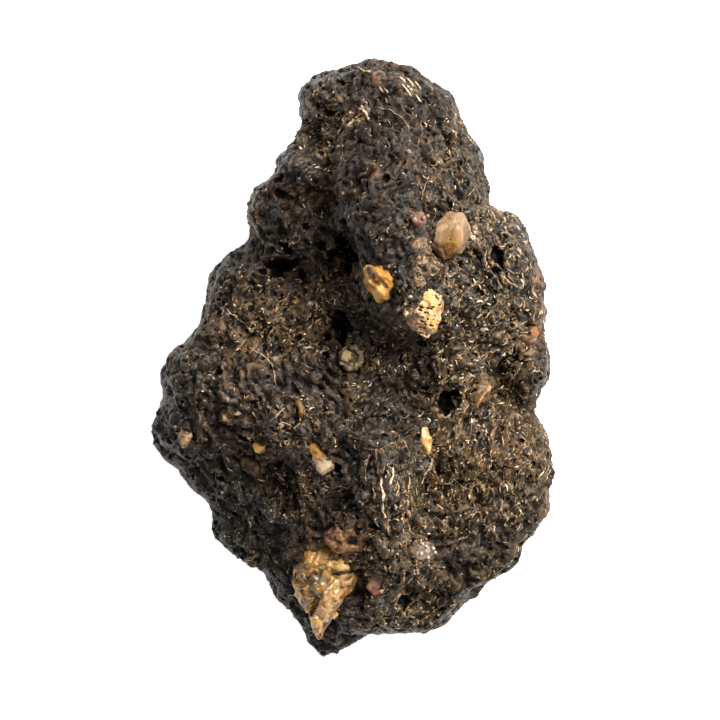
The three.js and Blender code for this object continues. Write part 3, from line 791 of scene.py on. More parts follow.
def paint_froth():
    paint = Paint("froth")
    step, times, plus, mark_of, noise = paint.step, paint.times, paint.plus, paint.mark, paint.noise
    curled = paint.swirl(0.9, 0.5)
    pit, hollow, slate = (mark_of(name) for name in ("pit", "hollow", "slate"))
    # less near black where slate grey lies, part of the painted light in shaded hollows
    open_skin = step(pit, 0.35, 0.0)
    lively = plus(1, times(slate, -0.6))
    patchy, fine = noise(1.3, 3, 0.6), noise(0.5, 2, 0.6)
    drifts = plus(times(fine, 0.6), times(mark_of("rope"), 0.22))
    # strands of glass along the flow, with painted shade in the furrows between them
    taps = [noise(0.32, 1, 0.5, 0.3, paint.along("flow", reach)) for reach in STRAND_TAPS]
    strand = times(plus(*taps), 1 / len(taps))
    # wrinkles, walls between bubbles and rims of bubbles, worn bright in places
    gilt = plus(0.15, times(mark_of("gilt"), 0.85))
    walls = step(paint.cells(0.9, "DISTANCE_TO_EDGE", curled), 0.05, 0.02)
    worn = step(noise(0.9, 2, 0.5), 0.52, 0.62)
    worn_rim = times(step(mark_of("rim"), 0.4, 0.9), step(noise(0.6, 1), 0.42, 0.56))
    pale_strand = times(step(strand, 0.565, 0.595), step(patchy, 0.3, 0.5))
    crest = times(step(mark_of("wrinkle"), 0.35, 0.8), step(patchy, 0.35, 0.6))
    base = paint.layered(
        CHARCOAL,
        (UMBER, step(noise(2.2, 3), 0.4, 0.65)),
        (SOOT_AND_SHADE, step(fine, 0.55, 0.3, (0, 0.6)), lively),
        # slate grey: worn ridges, and painted light in shaded hollows
        (SLATE_AND_PAINTED_LIGHT, slate, step(patchy, 0.3, 0.6)),
        (OLIVE, mark_of("olive"), step(patchy, 0.25, 0.6)),
        (DUST, mark_of("dust"), step(drifts, 0.2, 0.38), open_skin),
        # partly painted shade: green black in crevices and shaded zones
        (MURK_AND_SHADE, mark_of("murk"), step(patchy, 0.25, 0.5)),
        (CRUST, mark_of("crust"), step(fine, 0.3, 0.55)),
        (RUST, mark_of("rust"), step(patchy, 0.3, 0.6)),
        # painted shade in the furrows between strands
        (SOOT_AND_SHADE, step(strand, 0.475, 0.4), lively, 0.8),
        # painted shade in the furrows between ropes
        (SOOT_AND_SHADE, step(mark_of("rope"), -0.2, -0.7), 0.8),
        # painted shade in the creases between knobs
        (SOOT_AND_SHADE, mark_of("crease"), 0.85),
        (STRAND, pale_strand, open_skin, gilt, 0.5),
        (CRUST, crest, open_skin, gilt, 0.3),
        (GOLD, walls, worn, open_skin, gilt, 0.5),
        (GOLD, worn_rim, gilt, 0.75),
        # painted shade on the floors of the pits
        (SOOT_AND_SHADE, step(pit, 0.15, 0.65, (0, 0.9))),
        # painted shade in the hollows of the large form
        (SOOT_AND_SHADE, hollow, 0.1),
    )
    paint.set("Base Color", base)
    # less specular in the hollows and in pits: painted shade on the reflections
    shade = plus(1, times(hollow, -0.6), times(step(pit, 0.1, 0.7), -0.3))
    sheen = plus(step(patchy, 0.3, 0.7, (0.1, 0.3)), times(mark_of("murk"), 0.08))
    paint.set("Specular IOR Level", times(shade, sheen))
    paint.set("Roughness", plus(0.28, times(noise(0.5), 0.3)))
    paint.bump(plus(times(noise(0.3, 2, 0.5), 0.5), times(walls, 0.3), times(strand, 2.0)), 0.09)
    return paint.material


rock_mesh.materials.append(paint_froth())
print("the froth's material has", len(rock_mesh.materials[0].node_tree.nodes), "nodes")

# %% [markdown]
# ## Walking over the rock
#
# Threads, veins and crumbs all lie on the skin. A search tree of the rock's triangles finds the
# nearest point of the skin and the way it faces, so a path can be walked over knobs and into pits.

# %% Walk paths over the skin
rock_faces = read(rock_mesh.polygons, "vertices", 3, np.int32)
rock_tree = BVHTree.FromPolygons(thin.tolist(), rock_faces.tolist())
thin_outwards = normals_of(rock_mesh)


def on_skin(place):
    spot, facing, _, _ = rock_tree.find_nearest(Vector(place))
    return np.array(spot), np.array(facing)


def walk(start, facing, heading, pace, curl, stations):
    """Places and outward directions of a path that turns by curl radians at each step."""
    places, facings = [start], [facing]
    for _ in range(stations - 1):
        heading = unit(heading - facing * heading.dot(facing))
        side = np.cross(facing, heading)
        heading = np.cos(curl) * heading + np.sin(curl) * side
        start, facing = on_skin(start + pace * heading)
        places.append(start)
        facings.append(facing)
    return places, facings


def tubes(places, facings, widths, sides=3, lift=0.2):
    """Vertices and faces of many thin tubes. Arrays run path by path, then station by station."""
    along = unit(np.gradient(places, axis=1))
    up = unit(facings - along * (facings * along).sum(-1, keepdims=True))
    across = np.cross(along, up)
    middle = places + lift * widths[..., None] * up
    turns = 2 * np.pi * (np.arange(sides) + 0.75) / sides
    ring = np.cos(turns)[:, None] * across[:, :, None] + np.sin(turns)[:, None] * up[:, :, None]
    vertices = middle[:, :, None] + 0.5 * widths[:, :, None, None] * ring
    paths, stations = places.shape[:2]
    number = np.arange(paths * stations * sides).reshape(paths, stations, sides)
    a, b = number[:, :-1], number[:, 1:]
    walls = np.stack([a, b, np.roll(b, -1, 2), np.roll(a, -1, 2)], axis=-1).reshape(-1, 4)
    caps = [number[:, 0, ::-1].reshape(-1, sides), number[:, -1].reshape(-1, sides)]
    return vertices.reshape(-1, 3), [*walls.tolist(), *caps[0].tolist(), *caps[1].tolist()]


def piece_of(name, vertices, faces, material, slot="melt_rock"):
    mesh = bpy.data.meshes.new(name)
    mesh.from_pydata((np.asarray(vertices) * MM).tolist(), [], faces)
    mesh.materials.append(material)
    piece = object_of(name, mesh)
    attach(piece, "root")
    triangles = sum(len(polygon.vertices) - 2 for polygon in mesh.polygons)
    print(name, "has", triangles, "triangles")
    return piece


# %% [markdown]
# ## Bright threads
#
# Where two bubbles met, the glass wall between them stands as a thin curved thread. Wear has
# bleached thousands of them to gold and cream. Each is a short bent tube, pressed half into the
# skin and laid along the flow. A number for each thread sets how far it is bleached.

# %% Scatter the threads
THREADS = 5000
THREAD_STATIONS = 5
STRAY = 0.35  # how far a thread may leave the heading of the flow
LONGEST_PACE = 0.26  # mm, from one station to the next
thread_rng = np.random.default_rng(22)
gilt = stain_at(thin, STAINS["gilt"])
liking = (
    0.12
    + 0.35 * stain_at(thin, STAINS["dust"])
    + 0.2 * stain_at(thin, STAINS["olive"])
    + 0.7 * gilt
)
liking *= smooth_step(noise_at(thin, 1.5, 50), -0.8, 0.5) * smooth_step(thin_outwards[:, 2], -0.7, 0.5)
liking *= 1 - smooth_step(pit[source], 0.2, 0.6)
chosen = thread_rng.choice(len(thin), THREADS, replace=False, p=liking / liking.sum())
thread_places, thread_facings, thread_widths = [], [], []
taper = np.array([0.3, 0.85, 1.0, 0.8, 0.25])
for index, heading in zip(chosen, thin_flow[chosen]):
    heading = heading + STRAY * (1 - 0.5 * gilt[index]) * thread_rng.normal(size=3)
    pace = (0.05 + 0.06 * thread_rng.exponential()) * (1 + 0.35 * gilt[index])
    pace, curl = min(pace, LONGEST_PACE), thread_rng.normal(0, 0.3)
    places, facings = walk(thin[index], thin_outwards[index], heading, pace, curl, THREAD_STATIONS)
    thread_places.append(places)
    thread_facings.append(facings)
    thread_widths.append(thread_rng.uniform(0.07, 0.15) * (1 + 0.7 * gilt[index]) * taper)
thread_shape = tubes(np.array(thread_places), np.array(thread_facings), np.array(thread_widths))


def paint_threads():
    paint = Paint("bleached_glass", Roughness=0.4, Specular_IOR_Level=0.4)
    bleached = paint.mark("bleached")
    tone = paint.layered(
        (0.03, 0.02, 0.012),
        ((0.2, 0.125, 0.06), paint.step(bleached, 0.2, 0.55)),
        ((0.44, 0.31, 0.18), paint.step(bleached, 0.5, 0.85)),
        ((0.74, 0.6, 0.43), paint.step(bleached, 0.9, 1.0)),
    )
    paint.set("Base Color", tone)
    return paint.material


threads = piece_of("bright_threads", *thread_shape, paint_threads())
mark(threads.data, "bleached", np.repeat(thread_rng.uniform(0, 1, THREADS), 3 * THREAD_STATIONS))

# %% [markdown]
# ## Long hairs
#
# A few hundred threads run on for a millimetre or two, as hairs of drawn glass. They are thinner
# than the short threads and less curled, and share their material.

# %% Draw the hairs
HAIRS = 420
HAIR_STATIONS = 10
chosen = thread_rng.choice(len(thin), HAIRS, replace=False, p=liking / liking.sum())
hair_places, hair_facings = [], []
for index, heading in zip(chosen, thin_flow[chosen]):
    heading = heading + STRAY * thread_rng.normal(size=3)
    pace, curl = thread_rng.uniform(0.1, 0.19), thread_rng.normal(0, 0.12)
    places, facings = walk(thin[index], thin_outwards[index], heading, pace, curl, HAIR_STATIONS)
    hair_places.append(places)
    hair_facings.append(facings)
hair_taper = np.sin(np.pi * (np.arange(HAIR_STATIONS) + 0.6) / (HAIR_STATIONS + 0.2)) ** 0.5
hair_widths = thread_rng.uniform(0.05, 0.085, (HAIRS, 1)) * hair_taper
hair_shape = tubes(np.array(hair_places), np.array(hair_facings), hair_widths)
hairs = piece_of("glass_hairs", *hair_shape, threads.data.materials[0])
mark(hairs.data, "bleached", np.repeat(thread_rng.uniform(0.25, 0.9, HAIRS), 3 * HAIR_STATIONS))

# %% [markdown]
# ## Veins and rings
#
# The longest pale lines are veins, where mineral grew along a crack. Each vein is a line drawn on the
# plan, dropped onto the skin from above and made a little uneven in width. A few
# open bubbles get a thin pale ring in the same way.

# %% Lines of the veins and rings
# Each vein: width in mm, how far bleached, then plan points in mm.
VEINS = [
    (0.13, 0.72, [(11.6, -4.7), (11.0, -5.8), (10.4, -7.0)]),
    (0.12, 0.65, [(8.6, -9.0), (8.1, -10.3), (7.6, -11.4)]),
    (0.26, 0.85, [(0.6, 29.0), (1.2, 28.6), (1.9, 28.5)]), (0.2, 0.9, [(2.7, 27.0), (3.1, 26.5)]),
    (0.2, 0.85, [(3.2, 26.9), (3.6, 26.3)]), (0.16, 0.8, [(3.3, 25.9), (3.5, 25.3)]),
    (0.13, 0.95, [(-12.6, 4.9), (-11.2, 3.8), (-9.4, 2.3)]),
    (0.14, 0.93, [(-10.3, 1.0), (-9.0, 0.4), (-8.0, -0.5), (-7.7, -1.6), (-7.6, -2.7)]),
    (0.08, 0.7, [(-8.0, -0.5), (-7.2, 0.2), (-6.4, 0.5)]),
    (0.11, 0.9, [(-8.2, -6.4), (-7.6, -5.9), (-7.2, -5.3), (-6.5, -5.0)]),
    (0.12, 0.9, [(-7.0, -6.3), (-6.2, -6.6), (-5.4, -7.4)]),
    (0.34, 0.9, [(-0.4, 23.1), (0.1, 23.7), (0.9, 24.3)]),
    (0.3, 0.93, [(0.9, 25.2), (1.4, 24.3), (1.7, 23.7)]),
    (0.2, 0.88, [(0.2, 23.5), (0.7, 23.8), (1.4, 24.0)]),
    (0.22, 1, [(4.8, 28.0), (5.3, 27.5)]), (0.2, 1, [(5.5, 27.9), (6.2, 27.1)]),
    (0.22, 1, [(5.5, 27.2), (6.1, 26.6)]), (0.18, 0.97, [(4.9, 27.3), (5.6, 26.6), (5.9, 26.0)]),
    (0.16, 0.97, [(6.3, 27.6), (6.9, 26.8)]), (0.16, 0.97, [(6.3, 26.2), (7.0, 25.4)]),
    (0.3, 0.98, [(2.9, -12.0), (2.9, -12.7), (3.2, -13.4), (3.1, -14.2)]),
    (0.26, 0.97, [(3.2, -14.4), (3.1, -15.2), (3.5, -16.0)]),
    (0.16, 0.8, [(3.7, -15.9), (3.5, -16.6), (3.7, -17.4)]),
    (0.26, 0.97, [(4.1, -10.9), (4.0, -11.8), (3.8, -12.6)]),
    (0.14, 0.85, [(4.5, -12.2), (4.6, -13.0), (4.4, -13.8)]),
    (0.16, 0.9, [(5.6, -11.6), (5.8, -12.5), (5.6, -13.3)]),
    (0.12, 0.8, [(6.3, -13.0), (6.5, -13.8)]), (0.12, 0.8, [(2.0, -12.8), (2.3, -13.6), (2.2, -14.3)]),
    (0.17, 0.75, [(6.2, -19.8), (6.5, -20.6), (6.6, -21.4)]),
    (0.15, 0.95, [(7.7, -19.8), (7.7, -20.4), (7.7, -20.9)]),
    (0.2, 0.85, [(17.0, 8.6), (17.1, 7.7), (17.0, 6.8)]),
    (0.24, 0.7, [(17.0, 6.0), (17.2, 5.4), (17.2, 4.7)]),
    (0.12, 0.9, [(14.4, 9.0), (14.8, 8.3), (15.5, 7.6), (16.4, 7.2)]),
    (0.12, 0.85, [(14.9, 9.8), (15.5, 9.0), (16.2, 8.3)]),
    (0.11, 0.8, [(13.9, 9.6), (14.2, 8.6), (14.7, 7.6), (15.0, 6.8)]),
    (0.09, 0.8, [(6.6, 17.4), (7.0, 16.6), (6.9, 16.0)]),
    (0.09, 0.8, [(7.5, 17.6), (7.0, 16.6)]),
    (0.08, 0.8, [(2.4, 25.0), (4.0, 24.6), (5.0, 23.8), (5.8, 22.6)]),
    (0.07, 0.5, [(0.9, -8.9), (2.6, -9.2), (4.5, -8.3), (6.0, -7.7)]),
    (0.1, 0.75, [(1.7, -9.6), (1.3, -11.0), (1.5, -12.4)]),
    (0.1, 0.7, [(9.9, -11.9), (11.2, -13.0), (12.1, -13.2)]),
    (0.14, 0.72, [(8.3, -9.7), (7.6, -11.0), (6.9, -12.6)]),
]
# Plan x and y, then radius, in mm.
RINGS = [(10.3, -14.8, 0.26), (15.3, 12.3, 0.36), (15.8, 11.2, 0.34), (6.6, 8.3, 0.3), (9.8, -9.5, 0.33)]
RING_WIDTH, RING_BLEACHED = 0.09, 0.7
print("veins:", len(VEINS), "and rings:", len(RINGS))

# %% [markdown]
# ## Laying veins on the skin
#
# A vein's line is cut into short steps and bent a little by noise. Each station is then dropped
# onto the skin, and a thin five-sided tube is drawn along them.

# %% Draw the veins
VEIN_STEP = 0.16  # mm
DROP_HEIGHT = 60  # mm, above the whole lump


def skin_below(x, y):
    spot, facing, _, _ = rock_tree.ray_cast(Vector((x, y, DROP_HEIGHT)), Vector((0, 0, -1)))
    return np.array(spot), np.array(facing)


def drape(line):
    """Places and outward directions of a plan line laid on the skin."""
    line = np.array(line, float)
    run = np.concatenate([[0], np.cumsum(np.hypot(*np.diff(line, axis=0).T))])
    stations = np.linspace(0, run[-1], max(4, round(run[-1] / VEIN_STEP)))
    plan = np.stack([np.interp(stations, run, line[:, k]) for k in range(2)], axis=1)
    bend = np.stack([noise_at(np.c_[plan, plan[:, :1]], 0.9, seed) for seed in (91, 92)], axis=1)
    spots = [skin_below(x, y) for x, y in plan + 0.14 * bend]
    return np.array([spot for spot, _ in spots]), np.array([facing for _, facing in spots])


def ring_line(x, y, radius, corners=8):
    turns = np.linspace(0, 2 * np.pi, corners + 1)
    return np.c_[x + radius * np.cos(turns), y + radius * np.sin(turns)]


vein_points, vein_faces, vein_tones = [], [], []
rings = [(RING_WIDTH, RING_BLEACHED, ring_line(*ring)) for ring in RINGS]
for width, bleached, line in VEINS + rings:
    places, facings = drape(line)
    uneven = width * (0.85 + 0.55 * noise_at(places, 0.5, 93))
    uneven[[0, -1]] *= 0.3
    points, faces = tubes(places[None], facings[None], uneven[None], sides=5)
    start = sum(len(part) for part in vein_points)
    vein_points.append(points)
    vein_faces += [[start + number for number in face] for face in faces]
    vein_tones.append(np.full(len(points), bleached))
veins = piece_of("pale_veins", np.concatenate(vein_points), vein_faces, threads.data.materials[0])
mark(veins.data, "bleached", np.concatenate(vein_tones))

# %% [markdown]
# ## Mineral crumbs
#
# Sand-sized grains of quartz, feldspar and iron-stained rock are stuck all over the froth. Each is
# an eight-sided lump with its corners jittered, sunk to its middle. A number for each crumb sets
# its colour, and the whitest crumbs also stand in for small glints, as painted highlights. The large
# crumbs stand where they are listed, and each is a cluster of small ones.

# %% Scatter the crumbs
CRUMBS = 4200
crumb_rng = np.random.default_rng(8)
OCTAHEDRON = np.array([(1, 0, 0), (-1, 0, 0), (0, 1, 0), (0, -1, 0), (0, 0, 1), (0, 0, -1)], float)
SIDES = np.array([(0, 2, 4), (2, 1, 4), (1, 3, 4), (3, 0, 4), (2, 0, 5), (1, 2, 5), (3, 1, 5), (0, 3, 5)])
CLUSTER = 7  # crumbs in each large one
CLUSTER_REACH = 0.35  # mm of the plan, searched for the highest point
# Plan x and y and size in mm, then the kind, from 0 for dark to 1 for white.
LARGE_CRUMBS = [
    (-7.3, -7.0, 0.45, 0.8), (-14.4, -6.6, 0.3, 0.7), (-7.8, 0.1, 0.35, 0.7), (9.5, -16.4, 0.4, 0.6),
    (18.0, -9.5, 0.25, 0.8), (7.3, -17.0, 0.3, 0.75), (12.1, 13.2, 0.35, 0.97), (12.3, 12.1, 0.4, 0.97),
    (12.5, 12.7, 0.25, 1.0), (13.3, 2.8, 0.35, 0.97), (12.7, 3.8, 0.25, 0.8), (5.4, 20.7, 0.35, 0.75),
    (5.6, 4.2, 0.3, 1.0), (5.9, 6.0, 0.25, 0.97), (5.5, 5.2, 0.22, 0.8), (-11.6, -5.7, 0.3, 0.8),
    (6.7, 9.8, 0.3, 0.8), (7.5, 9.4, 0.35, 0.8), (6.6, 11.0, 0.3, 0.75), (8.1, 9.8, 0.25, 0.9),
]
liking = 0.35 + stain_at(thin, STAINS["dust"]) + 0.5 * stain_at(thin, STAINS["olive"])
liking += 5 * stain_at(thin, STAINS["crust"])
liking *= smooth_step(noise_at(thin, 3.0, 60), -0.8, 0.6) * smooth_step(thin_outwards[:, 2], -1.0, 0.4)
chosen = crumb_rng.choice(len(thin), CRUMBS, replace=False, p=liking / liking.sum())
sizes = 0.05 * crumb_rng.pareto(2.6, CRUMBS).clip(0, 2.4) + 0.045
kinds = crumb_rng.uniform(0, 1, CRUMBS)
for number, (x, y, size, kind) in enumerate(LARGE_CRUMBS):
    below = np.flatnonzero(np.hypot(thin[:, 0] - x, thin[:, 1] - y) < CLUSTER_REACH)
    middle = thin[below[np.argmax(thin[below, 2])]]
    near = np.flatnonzero(np.linalg.norm(thin - middle, axis=1) < 0.7 * size)
    members = slice(CLUSTER * number, CLUSTER * (number + 1))
    chosen[members] = crumb_rng.choice(near, CLUSTER)
    sizes[members] = size * crumb_rng.uniform(0.35, 0.75, CLUSTER)
    kinds[members] = kind + crumb_rng.uniform(-0.08, 0.05, CLUSTER)
shape = OCTAHEDRON + crumb_rng.normal(0, 0.22, (CRUMBS, 6, 3))
shape *= sizes[:, None, None] * crumb_rng.uniform(0.6, 1.4, (CRUMBS, 1, 3))
turns = np.linalg.qr(crumb_rng.normal(size=(CRUMBS, 3, 3)))[0]
turns *= np.linalg.det(turns)[:, None, None]
crumb_points = np.einsum("nij,nkj->nki", turns, shape) + thin[chosen][:, None]
crumb_faces = (SIDES[None] + 6 * np.arange(CRUMBS)[:, None, None]).reshape(-1, 3)


def paint_crumbs():
    paint = Paint("mineral_crumbs", Roughness=0.45)
    kind = paint.mark("kind")
    tone = paint.layered(
        (0.05, 0.026, 0.014),
        ((0.16, 0.09, 0.04), paint.step(kind, 0.2, 0.4)),
        ((0.32, 0.23, 0.14), paint.step(kind, 0.6, 0.75)),
        # the whitest tone: white mineral, and also painted highlight for glints on glassy beads
        ((0.55, 0.46, 0.35), paint.step(kind, 0.93, 0.98)),
    )
    paint.set("Base Color", tone)
    return paint.material


crumbs = piece_of("mineral_crumbs", crumb_points.reshape(-1, 3), crumb_faces.tolist(), paint_crumbs())
mark(crumbs.data, "kind", np.repeat(kinds, 6))

# %% [markdown]
# ## Finer grains
#
# The CAD grains are plain angular solids. A real grain is broken into many small faces, and its
# colour changes from face to face. Each CAD grain is remeshed finely here, and its skin is tilted
# chip by chip: every point belongs to the nearest of some random middles, and each chip leans its
# own way. Soft patches of the plan then lift, sink and tint parts of it.

# %% Chips and patches
def chips_at(points, size, seed):
    """How high each point stands on its leaning chip, and a random number for the chip."""
    rng = np.random.default_rng(seed)
    low, high = points.min(0) - size, points.max(0) + size
    middles = rng.uniform(low, high, (int(np.prod((high - low) / size)), 3))
    lean = unit(rng.normal(size=middles.shape))
    chip = nearest_in(search_tree(middles), points)
    height = ((points - middles[chip]) * lean[chip]).sum(1) / size
    return height, rng.uniform(0, 1, len(middles))[chip]


def patch_at(points, patch, ragged):
    """A soft patch of the plan: x, y, half sizes and turn. 1 inside and 0 outside."""
    away = away_from(points, *patch) + ragged * noise_at(points, 0.6, 70)
    return 1 - smooth_step(away, 0.75, 1.15)


print("a chip rises up to", chips_at(sample[:500], 10, 1)[0].max().round(2), "of its width")

# %% [markdown]
# ## How each grain looks
#
# A recipe gives three tones from dark to light and the chips with their width and height in mm. A
# spot is a patch, its colour, and how far it stands up or lies down. A pull moves what is near a
# place: x and y, reach, then the shift. Beads are round blebs of fresh glass on a grain: x, y and
# radius. The other entries say how clear, rough and glossy the mineral is, how strongly pale lines
# and dark cracks cross it, how ragged its spots are, and how it is made squarer, sheared or
# tapered. What a recipe leaves out takes a plain value.

# %% Recipes of the grains
DARK_HONEY, HONEY = (0.05, 0.022, 0.006), (0.24, 0.105, 0.022)
EARTH, TAN, SAND = (0.03, 0.018, 0.01), (0.16, 0.095, 0.042), (0.34, 0.24, 0.13)
# the second tone, near black, is laid in lowered slots and pits of the grains as painted shade
UMBER_BROWN, PIT_SHADE = (0.022, 0.012, 0.009), (0.006, 0.004, 0.003)

